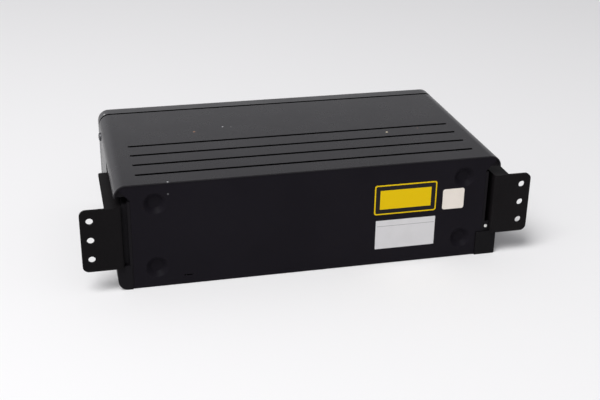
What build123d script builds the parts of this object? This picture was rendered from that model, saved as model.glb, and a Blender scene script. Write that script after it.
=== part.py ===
from build123d import *
from math import atan2, cos, degrees, pi, radians, sin, sqrt, tan
import os

os.makedirs("parts", exist_ok=True)

# A magazine type CD changer for a car boot. Millimetres.
# X runs along the rear face, Y from the rear plate to the magazine mouth, Z up.
# While modelling, Y = 0 is the rear edge of the cover and Z = 0 the underside.

# ---------------------------------------------------------------- casing
body_w = 310.0
body_h = 88.0
corner_r = 9.5
cover_t = 1.0
cover_len = 157.0
seam = 2.0
seam_depth = 2.3
bezel_len = 15.0
bezel_wall = 2.5
bezel_face_t = 3.0
bezel_edge_r = 3.5
bezel_foot_r = 3.0
neck_wall = 1.3
neck_lap = 2.0
sheet_gap = 0.2
floor_t = 1.2
floor_flange_h = 12.0

groove_count = 4
groove_first = 17.8
groove_pitch = 19.9
groove_w = 2.5
groove_d = 1.2
groove_margin = 18.5

rear_inset = 0.4
rear_t = 1.2
rear_fold = 10.0
rear_fold_r = 1.6
rear_chamfer_in = 6.7
chamfer_slope = 1.07
knee_drop = 2.1
dish_in = 19.4
dish_z_low = 17.0
dish_drop = 17.0
dish_r = 8.8
dish_floor_r = 4.6
dish_depth = 3.8
dish_round = 1.5
slot_x = -100.6
slot_z = 7.8
slot_w = 6.7
slot_h = 1.0
plate_edge_in = 1.0
edge_strip_w = 1.3

# side recess that holds the mounting bracket
recess_depth = 11.0
recess_len = 74.0
recess_drop = 9.7
frame_wall = 2.0
frame_gap = 0.3
frame_drop = 4.2
block_h = 20.8
block_r = 8.0
cap_overlap = 5.5
cap_proud = 0.8
cap_wall = 1.8
cap_r = 1.2

pad_y = (30.0, 66.0)
pad_z = (26.0, 66.0)
fill_y = 3.0
tab_y = 1.0
tab_low = 21.5
tab_h = 8.0
tab_screw_r = 1.5

# ---------------------------------------------------------------- brackets
bracket_t = 2.0
bracket_inset = 5.3
flange_reach = 26.2
flange_gap = 0.6
flange_low = 20.0
flange_drop = 7.0
flange_r = 5.0
bracket_len = 68.0
lip_reach = 7.3
lip_low_reach = 3.0
bend_r = 2.4
hole_reach = 18.8
hole_pitch = 15.9
hole_lift = 0.55
hole_r = 2.75
boss_r = 4.5
web_screw_y = (38.0, 58.0)
web_screw_z = (34.0, 46.0)
web_screw_drop = 13.3
web_lift = 1.8

# ---------------------------------------------------------------- screws
screw_r = 1.9
screw_head_r = 3.6
screw_head_h = 2.0
screw_len = 7.0
screw_fit = 0.1
cover_screw_in = 19.0
cover_screw_drop = 12.5
cover_screw_low = 6.6

# ---------------------------------------------------------------- magazine and trays
disc_t = 1.2
tray_count = 10
stack_room = 34.0
tray_t = 2.2
tray_floor_t = 1.0
tray_room_x = 15.0
tray_room_y = 31.0
tray_rim_x = 3.5
tray_rim_y = 3.0
tray_corner = 4.0
tray_recess_fit = 0.5
tray_window_r = 17.0
tray_window_w = 34.0
tray_window_rim = 1.8
tray_ledge_fit = 0.2
tray_side_fit = 0.5
rib_reach = 2.4
rib_fit = 0.3
case_t = 2.2
case_z = 16.0
case_x = 1.5
case_y = 36.0
case_back_t = 3.0
face_t = 4.0
face_proud = 0.6
mouth_fit = 1.0
grip_w = 60.0
grip_h = 18.0
grip_d = 2.2
notch_w = 3.4
notch_d = 2.8
notch_in = 4.5
case_open_in = 14.0

# ---------------------------------------------------------------- floating mechanism
chassis_t = 1.2
chassis_z = 2.8
chassis_y = 18.0
chassis_side = 1.5
pad_in = 12.5
pad_back = 14.0
pad_r = 9.0
spigot_len = 6.0
chassis_front = cover_len - spigot_len - 1.0
chassis_headroom = 8.0
guide_r = 2.0
guide_back = 5.0
guide_in = (11.0, 33.0)
guide_bush_r = 4.4
running_fit = 0.06
bridge_lift = 12.4
bridge_t = 1.2
bridge_skirt = 8.0

cam_t = 1.4
cam_gap = 0.8
cam_travel = 44.0
cam_low = 4.9
pin_r = 1.5
pin_slot_fit = 0.15
pin_in = 15.0
pin_clear = 14.0
pin_lift = 4.2
cam_land = 4.4
cam_stud_r = 2.0
cam_stud_z = (12.0, 34.0)
cam_stud_head = 1.4

rack_module = 0.8
lift_pinion_teeth = 16
fine_module = 0.5
lift_wheel_teeth = 36
motor_pinion_teeth = 10
lift_gear_back = 2.0
gear_t = 1.4
wheel_t = 2.0
gear_stud_r = 1.5
backlash = 0.12
mesh_relief = 0.06
motor_r = 12.0
motor_len = 11.6
motor_shaft_r = 1.0

# ---------------------------------------------------------------- lift deck
deck_t = 1.2
deck_rear_gap = 4.0
deck_below_tray = 13.6
deck_side_gap = 1.3
deck_margin = 3.0
deck_open_x = 13.0
deck_open_y = 5.0
deck_open_front = 18.0
ledge_gap = 0.4
ledge_t = 1.2
ledge_reach = 2.6
hinge_in = 4.6
hinge_lift = 8.4
hinge_r = 1.5
arm_open = 5.0
arm_t = 1.5
arm_root_w = 58.0
arm_tip_w = 32.0
puck_r = 15.0
puck_t = 3.0
puck_hub_r = 5.0
ear_t = 2.0
ear_clear = 3.4
puller_t = 1.6
puller_foot = 8.0
puller_rail = 3.6
puller_from_hook = 3.8

# ---------------------------------------------------------------- traverse
trav_t = 1.2
trav_above_deck = 2.6
trav_travel = 5.0
post_r = 1.5
spindle_r = 12.0
spindle_neck_r = 10.5
turntable_r = 14.5
turntable_t = 2.0
cone_r = 7.4
cone_h = 2.2
sled_short = 30.0
lens_start = 24.5
sled_reach_out = 5.0
sled_reach_in = 8.6
sled_ear_in = 6.0
trav_rear_gap = 3.6
trav_rim = 4.0
clip_w = 3.0
sled_rod_r = 1.25
sled_rod_x = 19.0
sled_window = 23.0
sled_gear_teeth = 28
lens_holder_r = 3.2
lens_r = 2.4
lens_play = 0.4

# ---------------------------------------------------------------- electrics
board_t = 1.6
board_lift = 3.6
bracket_sheet = 1.2
standoff_h = 1.0
board_chips = ((30, 62, 18, 18, 2.2), (70, 70, 14, 14, 2.0), (100, 60, 20, 8, 2.4), (44, 110, 24, 10, 2.4))
capacitor_x = 84.0
capacitor_y = 120.0
capacitor_pitch = 9.0
capacitor_h = 4.4
capacitor_r = 3.2
board_start = (8.0, 40.0)
board_margin = 3.0
board_front = 8.0
board_hole_in = (5.0, 6.0)
shelf_rim_h = 5.0
shelf_flange = 10.0
button_w = 10.0
button_h = 22.0
button_travel = 1.2
button_proud = 0.4
button_fit = 0.35
button_in = 12.5
button_z = 46.0
control_w = 16.0
control_h = 50.0
control_post = 19.0
switch_h = 2.6
socket_r = 8.0
socket_y = 112.0
socket_z = 48.0
socket_len = 16.0
pin_circle = 4.2
contact_r = 0.6

# ---------------------------------------------------------------- derived places
half_w = body_w / 2
body_d = cover_len + seam + bezel_len
rear_most = -flange_gap - bracket_t
front_most = body_d + face_proud
shift_y = -(rear_most + front_most) / 2
side_x = half_w - recess_depth
web_x = half_w - bracket_inset
inner_top = body_h - cover_t
floor_side = half_w - cover_t - sheet_gap
recess_top = body_h - recess_drop
flange_top = recess_top - flange_drop
web_low = flange_low + web_lift
hole_mid_z = (flange_low + flange_top) / 2 + hole_lift
cover_screw_y = cover_len - cover_screw_in
cover_screw_high = body_h - cover_screw_drop
dish_x = side_x - dish_in
dish_z_high = body_h - dish_drop
button_x = half_w - button_in
chassis_wall_h = body_h - chassis_headroom

tray_pitch = (body_h - stack_room) / tray_count
tray_w = side_x - frame_wall - tray_room_x
tray_l = cover_len - tray_room_y
disc_d = min(tray_w - 2 * tray_rim_x, tray_l - 2 * tray_rim_y)
tray_window_len = tray_l / 2 - tray_window_rim
deck_travel = (tray_count - 1) * tray_pitch
sled_travel = tray_l / 2 - sled_short

case_h = 2 * case_t + tray_count * tray_pitch + 2 * tray_ledge_fit
tray_low_z = case_z + case_t + tray_ledge_fit
tray_z = tray_low_z + (tray_count - 1) * tray_pitch
tray_y = case_y + case_back_t + tray_side_fit + tray_l / 2
tray_x = case_x + tray_side_fit + tray_w / 2
case_w = 2 * tray_side_fit + tray_w + case_t
case_len = case_back_t + 2 * tray_side_fit + tray_l + case_back_t
face_y = body_d + face_proud - face_t
board_z = case_z + case_h + board_lift
deck_z = tray_z - deck_below_tray
deck_x0 = -side_x + frame_wall + deck_margin
deck_x1 = -deck_margin
deck_y0 = case_y - deck_rear_gap
hinge_y = deck_y0 + hinge_in
hinge_z = tray_z + hinge_lift
guide_y = deck_y0 - guide_back
guide_x = (deck_x0 + guide_in[0], deck_x1 - guide_in[1])
bridge_z = tray_z + bridge_lift
deck_y1 = tray_y + tray_l / 2 + deck_side_gap + deck_t
spindle_x = (deck_x0 + deck_x1) / 2
pin_x = (deck_x1 - pin_in - cam_travel - pin_clear, deck_x1 - pin_in)
pin_top_z = deck_z + pin_lift
lift_gear_x = pin_x[1] - lift_gear_back
cam_y = chassis_y + chassis_t + cam_gap
cam_top = pin_top_z + cam_land
chassis_side_x = side_x - frame_wall - chassis_side


# ---------------------------------------------------------------- helpers
def block(x, y, z):
    """Box between the pairs x, y and z."""
    middle = Pos((x[0] + x[1]) / 2, (y[0] + y[1]) / 2, (z[0] + z[1]) / 2)
    return middle * Box(abs(x[1] - x[0]), abs(y[1] - y[0]), abs(z[1] - z[0]))


def bar_x(x, y, z, radius):
    """Round bar along X from x[0] to x[1]."""
    return Pos((x[0] + x[1]) / 2, y, z) * Rot(0, 90, 0) * Cylinder(radius, abs(x[1] - x[0]))


def bar_y(x, y, z, radius):
    """Round bar along Y from y[0] to y[1]."""
    return Pos(x, (y[0] + y[1]) / 2, z) * Rot(90, 0, 0) * Cylinder(radius, abs(y[1] - y[0]))


def bar_z(x, y, z, radius):
    """Round bar along Z from z[0] to z[1]."""
    return Pos(x, y, (z[0] + z[1]) / 2) * Cylinder(radius, abs(z[1] - z[0]))


def along_y(sketch, y0, y1):
    """Sketch in (X, Z) carried from y0 to y1."""
    return Pos(0, y1, 0) * Rot(90, 0, 0) * extrude(sketch, y1 - y0)


def along_x(sketch, x0, x1):
    """Sketch in (Y, Z) carried from x0 to x1."""
    return Pos(x0, 0, 0) * (Plane.YZ * extrude(sketch, x1 - x0))


def along_z(sketch, z0, z1):
    """Sketch in (X, Y) carried from z0 to z1."""
    return Pos(0, 0, z0) * extrude(sketch, z1 - z0)


def outline(*points):
    """Closed face through corner points."""
    return make_face(Polyline(*points, close=True))


def plate(x, y, radius=0):
    """Rectangle between the pairs x and y, with round corners."""
    width = abs(x[1] - x[0])
    height = abs(y[1] - y[0])
    shape = RectangleRounded(width, height, radius) if radius else Rectangle(width, height)
    return Pos((x[0] + x[1]) / 2, (y[0] + y[1]) / 2) * shape


def mirrored(shape):
    """The same piece on the other side of the object."""
    return mirror(shape, about=Plane.YZ)


def save(name, *solids):
    """Write one sub-part, moved so that Y = 0 is the middle of the whole."""
    placed = [Pos(0, shift_y, 0) * solid for solid in solids]
    shape = placed[0] if len(placed) == 1 else Compound(children=[s.solid() for s in placed])
    export_step(shape, f"parts/{name}.step")


def gear_outline(teeth, module, turn=0.0, relief=0.0):
    """Spur gear outline with a tooth at the angle turn; flanks are two chords of the involute."""
    pitch_r = teeth * module / 2
    base_r = pitch_r * cos(radians(20))
    tip_r = pitch_r + module - relief
    root_r = pitch_r - 1.25 * module
    half_pitch_angle = pi / (2 * teeth) - backlash * module / pitch_r

    def flank(radius):
        """Half the angle that a tooth covers at a radius."""
        if radius <= base_r:
            return half_pitch_angle + tan(radians(20)) - radians(20)
        opening = sqrt(max((radius / base_r) ** 2 - 1, 0))
        here = opening - atan2(opening, 1)
        return half_pitch_angle + tan(radians(20)) - radians(20) - here

    rings = (root_r, max(base_r, root_r + 0.1 * module), pitch_r, tip_r)
    points = []
    for tooth in range(teeth):
        centre = radians(turn) + tooth * 2 * pi / teeth
        left = [(r, centre - flank(r)) for r in rings]
        right = [(r, centre + flank(r)) for r in reversed(rings)]
        points += [(r * cos(a), r * sin(a)) for r, a in left + right]
    return outline(*points)


def rack_teeth(count, module, start, pitch_line, side=1):
    """Straight rack teeth centred on start + n * pitch, standing up from their root line."""
    pitch = pi * module
    half = pitch / 4 - backlash * module
    slope = tan(radians(20))
    teeth = []
    for n in range(count):
        middle = start + n * pitch
        root = half + slope * 1.25 * module
        tip = half - slope * (module - mesh_relief)
        low = pitch_line - side * 1.25 * module
        high = pitch_line + side * (module - mesh_relief)
        foot = [(middle - root, low), (middle + root, low)]
        teeth.append(outline(*foot, (middle + tip, high), (middle - tip, high)))
    return teeth


def pan_screw(length=screw_len):
    """Pan head screw along Z, head above Z = 0."""
    head = Pos(0, 0, screw_head_h / 2) * Cylinder(screw_head_r, screw_head_h)
    head = fillet(head.edges().group_by(Axis.Z)[-1], screw_head_h * 0.45)
    return head + Pos(0, 0, -length / 2) * Cylinder(screw_r, length)


def dish(face_y):
    """Round pressed seat in the rear plate: the metal behind it and the hollow in front, on the Y axis."""
    rim = (dish_r + dish_round * 1.5, 0)
    slope = FilletPolyline(rim, (dish_r, 0), (dish_floor_r, dish_depth), (0, dish_depth), radius=dish_round)
    air = slope + Polyline((0, dish_depth), (0, -1), (rim[0], -1), rim)
    hollow = revolve(make_face(air), Axis.Y)
    back = [(rim[0], rear_t), (dish_r + rear_t / 2, rear_t), (dish_floor_r + rear_t / 2, dish_depth + rear_t)]
    shell = Polyline((0, 0.1), (rim[0], 0.1), *back, (0, dish_depth + rear_t), (0, 0.1))
    metal = revolve(make_face(shell), Axis.Y)
    return Pos(0, face_y, 0) * metal, Pos(0, face_y, 0) * hollow


# ---------------------------------------------------------------- casing pieces
def cover_profile(inset, low):
    """Section of the cover's outside, moved in by inset, down to low."""
    width = body_w - 2 * inset
    top = body_h - inset
    face = plate((-width / 2, width / 2), (low, top))
    upper = face.vertices().group_by(Axis.Y)[-1]
    return fillet(upper, corner_r - inset)


def top_cover():
    """Bent sheet cover with pressed grooves, open below, cut away at both side recesses."""
    section = cover_profile(0, floor_t + sheet_gap) - cover_profile(cover_t, 0)
    cover = along_y(section, 0, cover_len)
    for n in range(groove_count):
        y = groove_first + n * groove_pitch
        length = body_w - 2 * groove_margin
        ridge = Pos(0, y) * SlotOverall(length + cover_t, groove_w + cover_t)
        hollow = Pos(0, y) * SlotOverall(length, groove_w)
        cover += along_z(ridge, inner_top - groove_d, inner_top + cover_t / 2)
        cover -= along_z(hollow, body_h - groove_d, body_h + 1)
    for side in (-1, 1):
        window = (side * (side_x - 1), side * (half_w + 1))
        cover -= block(window, (-1, recess_len + frame_gap), (0, recess_top))
        for z in (cover_screw_low, cover_screw_high):
            cover -= bar_x(window, cover_screw_y, z, screw_r + screw_fit)
    cover -= bar_x((side_x, half_w + 1), socket_y, socket_z, socket_r + sheet_gap)
    save("top_cover", cover)


def bottom_plate():
    """Floor sheet with two upturned flanges and two pressed stiffening beads."""
    rear = rear_inset + rear_t + rear_fold
    wide = recess_len + frame_gap
    narrow = side_x - frame_gap
    edge = [(narrow, rear), (narrow, wide), (floor_side, wide), (floor_side, cover_len)]
    edge += [(-x, y) for x, y in reversed(edge)]
    floor = along_z(outline(*edge), 0, floor_t)
    for side in (-1, 1):
        skirt = (side * (floor_side - floor_t), side * floor_side)
        floor += block(skirt, (wide, cover_len), (0, floor_flange_h))
        floor -= bar_x(skirt, cover_screw_y, cover_screw_low, screw_r + screw_fit)
        bead = Pos(side * 70, cover_len * 0.6) * Rot(0, 0, 90) * SlotOverall(90, 8)
        floor += along_z(bead, floor_t, floor_t + 0.7)
        groove = Pos(side * 70, cover_len * 0.6) * Rot(0, 0, 90) * SlotOverall(88, 6)
        floor -= along_z(groove, -1, 0.7)
    save("bottom_plate", floor)


def rear_plate():
    """Rear sheet with chamfered upper corners, four dished seats and a bottom fold."""
    top = inner_top - sheet_gap
    reach = side_x + rear_chamfer_in
    knee = recess_top - knee_drop
    edge = side_x - plate_edge_in
    knee_low = knee - plate_edge_in * chamfer_slope
    knee_high = knee + rear_chamfer_in * chamfer_slope
    left = [(edge, 0), (edge, knee_low), (reach, knee_high), (reach, top), (0, top)]
    mirror_side = [(-x, z) for x, z in reversed(left[:-1])]
    face = outline(*left, *mirror_side)
    face = face & cover_profile(cover_t + sheet_gap, 0)
    sheet = along_y(face, rear_inset, rear_inset + rear_t)
    fold_end = rear_inset + rear_t + rear_fold - frame_gap
    sheet += block((-side_x, side_x), (rear_inset, fold_end), (0, floor_t))
    low_edge = sheet.edges().filter_by(Axis.X).group_by(Axis.Z)[0].group_by(Axis.Y)[0]
    sheet = fillet(low_edge, rear_fold_r * 0.7)
    for x in (-dish_x, dish_x):
        for z in (dish_z_low, dish_z_high):
            metal, hollow = dish(rear_inset)
            sheet += Pos(x, 0, z) * metal
            sheet -= Pos(x, 0, z) * hollow
    slot_span = (slot_x - slot_w / 2, slot_x + slot_w / 2)
    sheet -= block(slot_span, (0, 3), (slot_z - slot_h / 2, slot_z + slot_h / 2))
    sheet -= block((side_x - cap_overlap - frame_gap, half_w), (-1, fold_end + 1), (-1, block_h + frame_gap))
    save("rear_plate", sheet)


def side_frame(with_block):
    """Right hand side frame: recess wall with screw bosses, shelf under the cover, front stop wall."""
    rear = rear_inset + rear_t + frame_gap
    front = cover_len - spigot_len - frame_gap
    wall = block((side_x - frame_wall, side_x), (rear, front), (floor_t, body_h - frame_drop))
    under_cover = cover_profile(cover_t + sheet_gap, 0)
    shelf = along_y(under_cover & plate((side_x - 1, half_w), (recess_top, body_h)), rear, recess_len)
    stop_y = (recess_len - frame_wall, recess_len)
    stop = block((side_x, half_w - cover_t - sheet_gap), stop_y, (floor_t, recess_top + 1))
    frame = wall + shelf + stop
    strip_x = (side_x - plate_edge_in + frame_gap / 2, side_x + edge_strip_w)
    strip_low = floor_t if with_block else block_h + frame_gap
    frame += block(strip_x, (rear_inset, rear + 1), (strip_low, recess_top - 2 * knee_drop))
    if with_block:
        corner = plate((side_x, half_w), (0, block_h))
        foot = corner.vertices().sort_by(Axis.X)[-2:].sort_by(Axis.Y)[0]
        corner = fillet(foot, block_r)
        solid = along_y(corner, 0, recess_len)
        room = (side_x, half_w - 2 * frame_wall)
        room_y = (2 * frame_wall, recess_len - frame_wall)
        solid -= block(room, room_y, (frame_wall * 2, block_h - frame_wall))
        frame += solid
        frame += block((side_x, web_x - frame_gap), (fill_y, pad_y[0]), (block_h - 1, flange_top))
    else:
        tab_z = (tab_low, tab_low + tab_h)
        frame += block((side_x, web_x - frame_gap), (tab_y, tab_y + frame_wall), tab_z)
        tab_x = (side_x + web_x) / 2
        through = (tab_y - 1, tab_y + frame_wall + 1)
        frame -= bar_y(tab_x, through, tab_low + tab_h / 2, tab_screw_r + screw_fit)
    frame += block((side_x, web_x), pad_y, pad_z)
    for y, z in web_screw_places():
        frame -= bar_x((side_x - frame_wall - 1, web_x + 1), y, z, screw_r + screw_fit)
    inner = half_w - cover_t - sheet_gap
    for z in (cover_screw_low, cover_screw_high):
        end = inner if z > floor_flange_h else inner - floor_t
        frame += bar_x((side_x, end), cover_screw_y, z, boss_r)
        frame -= bar_x((side_x - frame_wall - 1, end + 1), cover_screw_y, z, screw_r + screw_fit)
    for y in (recess_len + 22, front - frame_wall):
        frame += block((side_x, side_x + 3), (y, y + frame_wall), (floor_t, body_h - 8))
    return frame


def side_frames():
    """Both side frames; the left one carries the round corner block, the right one the socket hole."""
    save("left_side_frame", mirrored(side_frame(True)))
    right = side_frame(False)
    right += bar_x((side_x, side_x + 4), socket_y, socket_z, socket_r + 2.5)
    right -= bar_x((side_x - 5, side_x + 5), socket_y, socket_z, socket_r + sheet_gap)
    save("right_side_frame", right)


def corner_cap():
    """Moulded cap on the lower right corner, a shell that stands a little proud of the plate."""
    outer = block((side_x + frame_gap, half_w + cap_proud), (-cap_proud / 2, recess_len), (0, block_h))
    outer = fillet(outer.edges().filter_by(Axis.Y).group_by(Axis.X)[-1], cap_r)
    room_x = (side_x + frame_gap - 1, half_w + cap_proud - cap_wall)
    outer -= block(room_x, (cap_wall, recess_len - cap_wall), (cap_wall, block_h - cap_wall))
    stop_room = (side_x, half_w + cap_proud - cap_wall)
    outer -= block(stop_room, (recess_len - frame_wall - frame_gap, recess_len + 1), (-1, block_h + 1))
    lap = block((side_x - cap_overlap, side_x + 1), (-cap_proud / 2, rear_inset + rear_t), (0, block_h))
    save("corner_cap", outer + lap)


def front_bezel():
    """Moulded front: rounded shell behind the seam with the magazine mouth and the button hole."""
    start = cover_len + seam
    outer = cover_profile(0, 0)
    feet = outer.vertices().group_by(Axis.Y)[0]
    outer = fillet(feet, bezel_foot_r)
    body = along_y(outer, start, body_d)
    front = body.faces().sort_by(Axis.Y)[-1]
    body = fillet(front.edges(), bezel_edge_r)
    inner = cover_profile(bezel_wall, bezel_wall)
    body -= along_y(inner, start + neck_lap, body_d - bezel_face_t)
    spigot = cover_profile(cover_t + sheet_gap, floor_t + sheet_gap)
    neck = cover_profile(seam_depth, seam_depth + sheet_gap)
    neck_bore = cover_profile(seam_depth + neck_wall, seam_depth + neck_wall + floor_t)
    bore = cover_profile(bezel_wall, bezel_wall + floor_t)
    tail = cover_len - spigot_len
    ring = along_y(spigot, tail, cover_len) - along_y(bore, tail - 1, cover_len - neck_lap)
    body += along_y(neck, cover_len - neck_lap, start + neck_lap)
    for side in (-1, 1):
        skirt = (side * (floor_side - floor_t - sheet_gap), side * (half_w + 1))
        ring -= block(skirt, (tail - 1, cover_len + sheet_gap), (0, floor_flange_h + sheet_gap))
    body += ring
    body -= along_y(neck_bore, cover_len - neck_lap - 1, start + neck_lap + 1)
    mouth_x = (case_x - mouth_fit, case_x + case_w + mouth_fit)
    mouth_z = (case_z - mouth_fit, case_z + case_h + mouth_fit)
    body -= along_y(plate(mouth_x, mouth_z, 2.5), start, body_d + 1)
    hole_x = (button_x - button_w / 2 - button_fit, button_x + button_w / 2 + button_fit)
    hole_z = (button_z - button_h / 2 - button_fit, button_z + button_h / 2 + button_fit)
    body -= along_y(plate(hole_x, hole_z, 1.5 + button_fit), start, body_d + 1)
    save("front_bezel", body)


def web_screw_places():
    """The three screws of a bracket's web, in Y and Z."""
    near, far = web_screw_y
    return ((near, web_screw_z[0]), (near, flange_top - web_screw_drop), (far, web_screw_z[1]))


def mounting_bracket():
    """Right hand pressed bracket: web in the side recess, top and bottom lips, flange with three holes."""
    y0 = -flange_gap - bracket_t
    outer = half_w + flange_reach
    lip = half_w + lip_reach
    corner = plate((web_x, outer), (flange_low, flange_top))
    tips = corner.vertices().group_by(Axis.X)[-1]
    corner = fillet(tips, flange_r)
    flange = along_y(corner, y0, y0 + bracket_t)
    web = block((web_x, web_x + bracket_t), (y0, bracket_len), (web_low, flange_top))
    upper = block((web_x, lip), (y0, bracket_len), (flange_top - bracket_t, flange_top))
    lower = block((web_x, half_w + lip_low_reach), (y0, bracket_len), (web_low, web_low + bracket_t))
    bracket = flange + web + upper + lower
    bend = bracket.edges().filter_by(Axis.Z).group_by(Axis.X)[0].sort_by(Axis.Y)[0]
    bracket = fillet(bend, bend_r)
    ends = bracket.edges().filter_by(Axis.Z).group_by(Axis.Y)[-1].sort_by(Axis.X)[-1]
    bracket = fillet(ends, bend_r)
    x = half_w + hole_reach
    for n in (-1, 0, 1):
        bracket -= bar_y(x, (y0 - 1, 1), hole_mid_z + n * hole_pitch, hole_r)
    for y, z in web_screw_places():
        bracket -= bar_x((web_x - 1, web_x + bracket_t + 1), y, z, screw_r + screw_fit)
    return bracket


def brackets_and_screws():
    """Brackets on both sides, their web screws and the cover's side screws."""
    bracket = mounting_bracket()
    save("right_mounting_bracket", bracket)
    save("left_mounting_bracket", mirrored(bracket))
    web_face = web_x + bracket_t
    on_web = [Pos(web_face, y, z) * Rot(0, 90, 0) * pan_screw() for y, z in web_screw_places()]
    save("bracket_screws", *on_web, *[mirrored(s) for s in on_web])
    heights = (cover_screw_low, cover_screw_high)
    on_cover = [Pos(half_w, cover_screw_y, z) * Rot(0, 90, 0) * pan_screw() for z in heights]
    save("cover_screws", *on_cover, *[mirrored(s) for s in on_cover])


# ---------------------------------------------------------------- electrics
def bus_socket():
    """Round multi-way socket in the right side, with its contact pins as separate solids."""
    face = half_w + 0.6
    back = face - socket_len
    shell = bar_x((back, face), socket_y, socket_z, socket_r)
    shell += bar_x((half_w + sheet_gap / 2, face), socket_y, socket_z, socket_r + 1.6)
    shell += bar_x((back, side_x - frame_wall - sheet_gap), socket_y, socket_z, socket_r + 1.4)
    shell -= bar_x((back + 5, face + 1), socket_y, socket_z, socket_r - 1.4)
    key = block((back + 4, face - 1.5), (socket_y - 1.1, socket_y + 1.1), (socket_z + 5.4, socket_z + 7))
    shell += key
    pins = []
    for n in range(8):
        angle = radians(-60 + n * 300 / 7 - 90)
        y = socket_y + pin_circle * cos(angle)
        z = socket_z + pin_circle * sin(angle)
        pins.append(bar_x((back + 5, face - 3), y, z, contact_r))
    save("bus_socket", shell)
    save("socket_contacts", *pins)


def eject_button():
    """Moulded button with a collar behind the bezel and a stem; gives the stem's end."""
    front = body_d + button_proud
    back = front - 4.6
    cap_x = (button_x - button_w / 2, button_x + button_w / 2)
    cap_z = (button_z - button_h / 2, button_z + button_h / 2)
    cap = along_y(plate(cap_x, cap_z, 1.5), back, front)
    cap = fillet(cap.faces().sort_by(Axis.Y)[-1].edges(), 0.5)
    collar_y = (back, body_d - bezel_face_t - 0.3)
    collar = block((cap_x[0] - 1.2, cap_x[1] + 1.2), collar_y, (cap_z[0] - 1.2, cap_z[1] + 1.2))
    stem_end = back - 4.0
    stem = bar_y(button_x, (stem_end, back), button_z, 1.5)
    save("eject_button", cap + collar + stem)
    return stem_end


def front_controls():
    """Eject button, control board on two posts of the bezel and the switch that the button presses."""
    stem_end = eject_button()
    board_front = stem_end - button_travel - 0.3 - switch_h
    board_y = (board_front - board_t, board_front)
    half = control_w / 2
    board_span = (button_z - control_h / 2, button_z + control_h / 2)
    board = block((button_x - half, button_x + half), board_y, board_span)
    posts = []
    for side in (-1, 1):
        z = button_z + side * control_post
        board -= bar_y(button_x, (board_y[0] - 1, board_y[1] + 1), z, 1.6)
        post = bar_y(button_x, (board_y[1], body_d - bezel_face_t), z, 3.0)
        posts.append(post + bar_y(button_x, (board_y[0] - 0.6, board_y[1]), z, 1.5))
    save("control_board", board)
    save("board_posts", *posts)
    top = board_y[1] + switch_h
    switch = block((button_x - 3, button_x + 3), (board_y[1], top - 1), (button_z - 3, button_z + 3))
    save("eject_switch", switch + bar_y(button_x, (top - 1, top), button_z, 1.4))


# ---------------------------------------------------------------- floating chassis and lift drive
def mechanism_chassis():
    """Floating chassis: base sheet and rear wall with pin slots, studs for the cam and the gear."""
    x = (-chassis_side_x, chassis_side_x)
    base = block(x, (chassis_y, chassis_front), (chassis_z, chassis_z + chassis_t))
    wall = block(x, (chassis_y, chassis_y + chassis_t), (chassis_z, chassis_wall_h))
    chassis = base + wall
    flap = (chassis_z, chassis_z + 10)
    for side in (-1, 1):
        edge = (side * (chassis_side_x - chassis_t), side * chassis_side_x)
        chassis += block(edge, (chassis_y, chassis_front), flap)
    for pin in pin_x:
        low = pin_top_z - deck_travel - pin_r
        span = (low - 0.4, pin_top_z + pin_r + 0.4)
        slot = plate((pin - pin_r - 0.4, pin + pin_r + 0.4), span)
        chassis -= along_y(slot, chassis_y - 1, chassis_y + chassis_t + 1)
    stud_end = cam_y + cam_t + 0.3
    for stud, z in cam_stud_places():
        chassis += bar_y(stud, (chassis_y + chassis_t, stud_end), z, cam_stud_r)
        chassis += bar_y(stud, (stud_end, stud_end + 1), z, cam_stud_r + cam_stud_head)
    gear_z = lift_axis_z()
    end = cam_y + gear_t + 0.5 + wheel_t + 1.0
    chassis += bar_y(lift_gear_x, (chassis_y + chassis_t, end), gear_z, gear_stud_r)
    chassis += bar_y(lift_gear_x, (chassis_y + chassis_t, cam_y - 0.3), gear_z, gear_stud_r + 1.2)
    shaft_x = lift_gear_x + (lift_wheel_teeth + motor_pinion_teeth) * fine_module / 2
    chassis -= bar_y(shaft_x, (chassis_y - 1, chassis_y + chassis_t + 1), gear_z, motor_shaft_r + 2)
    save("mechanism_chassis", chassis)


def cam_stud_places():
    """Studs that carry the cam: their level slots lie midway between the two slanted ones."""
    places = []
    for z in cam_stud_z:
        middle = (pin_x[0] + pin_x[1]) / 2 - cam_travel * (pin_top_z - z) / deck_travel
        places.append((middle + cam_travel / 2, z))
    return places


def lift_axis_z():
    """Height of the lift gear's axis above the rack."""
    return cam_top + 1.25 * rack_module + lift_pinion_teeth * rack_module / 2


def lift_cam():
    """Sliding cam plate with two slanted slots, two guide slots and a rack on its upper edge."""
    left = pin_x[0] - cam_travel - cam_land - pin_r
    right = pin_x[1] + cam_land + pin_r
    body = plate((left, right), (cam_low, cam_top), 3.0)
    pitch_line = cam_top + 1.25 * rack_module
    pitch = pi * rack_module
    last = lift_gear_x + 1.5 * pitch
    count = int(cam_travel / pitch) + 5
    start = last - (count - 1) * pitch
    for tooth in rack_teeth(count, rack_module, start, pitch_line):
        body += tooth
    wide = pin_r + pin_slot_fit
    for x in pin_x:
        ends = (x, pin_top_z), (x - cam_travel, pin_top_z - deck_travel)
        length = sqrt(cam_travel**2 + deck_travel**2)
        angle = degrees(atan2(deck_travel, cam_travel))
        middle = ((ends[0][0] + ends[1][0]) / 2, (ends[0][1] + ends[1][1]) / 2)
        body -= Pos(*middle) * Rot(0, 0, angle) * SlotCenterToCenter(length + 0.6, 2 * wide)
    guide = SlotCenterToCenter(cam_travel + 0.6, 2 * cam_stud_r + 0.3)
    for x, z in cam_stud_places():
        body -= Pos(x - cam_travel / 2, z) * guide
    save("lift_cam", along_y(body, cam_y, cam_y + cam_t))


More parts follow.
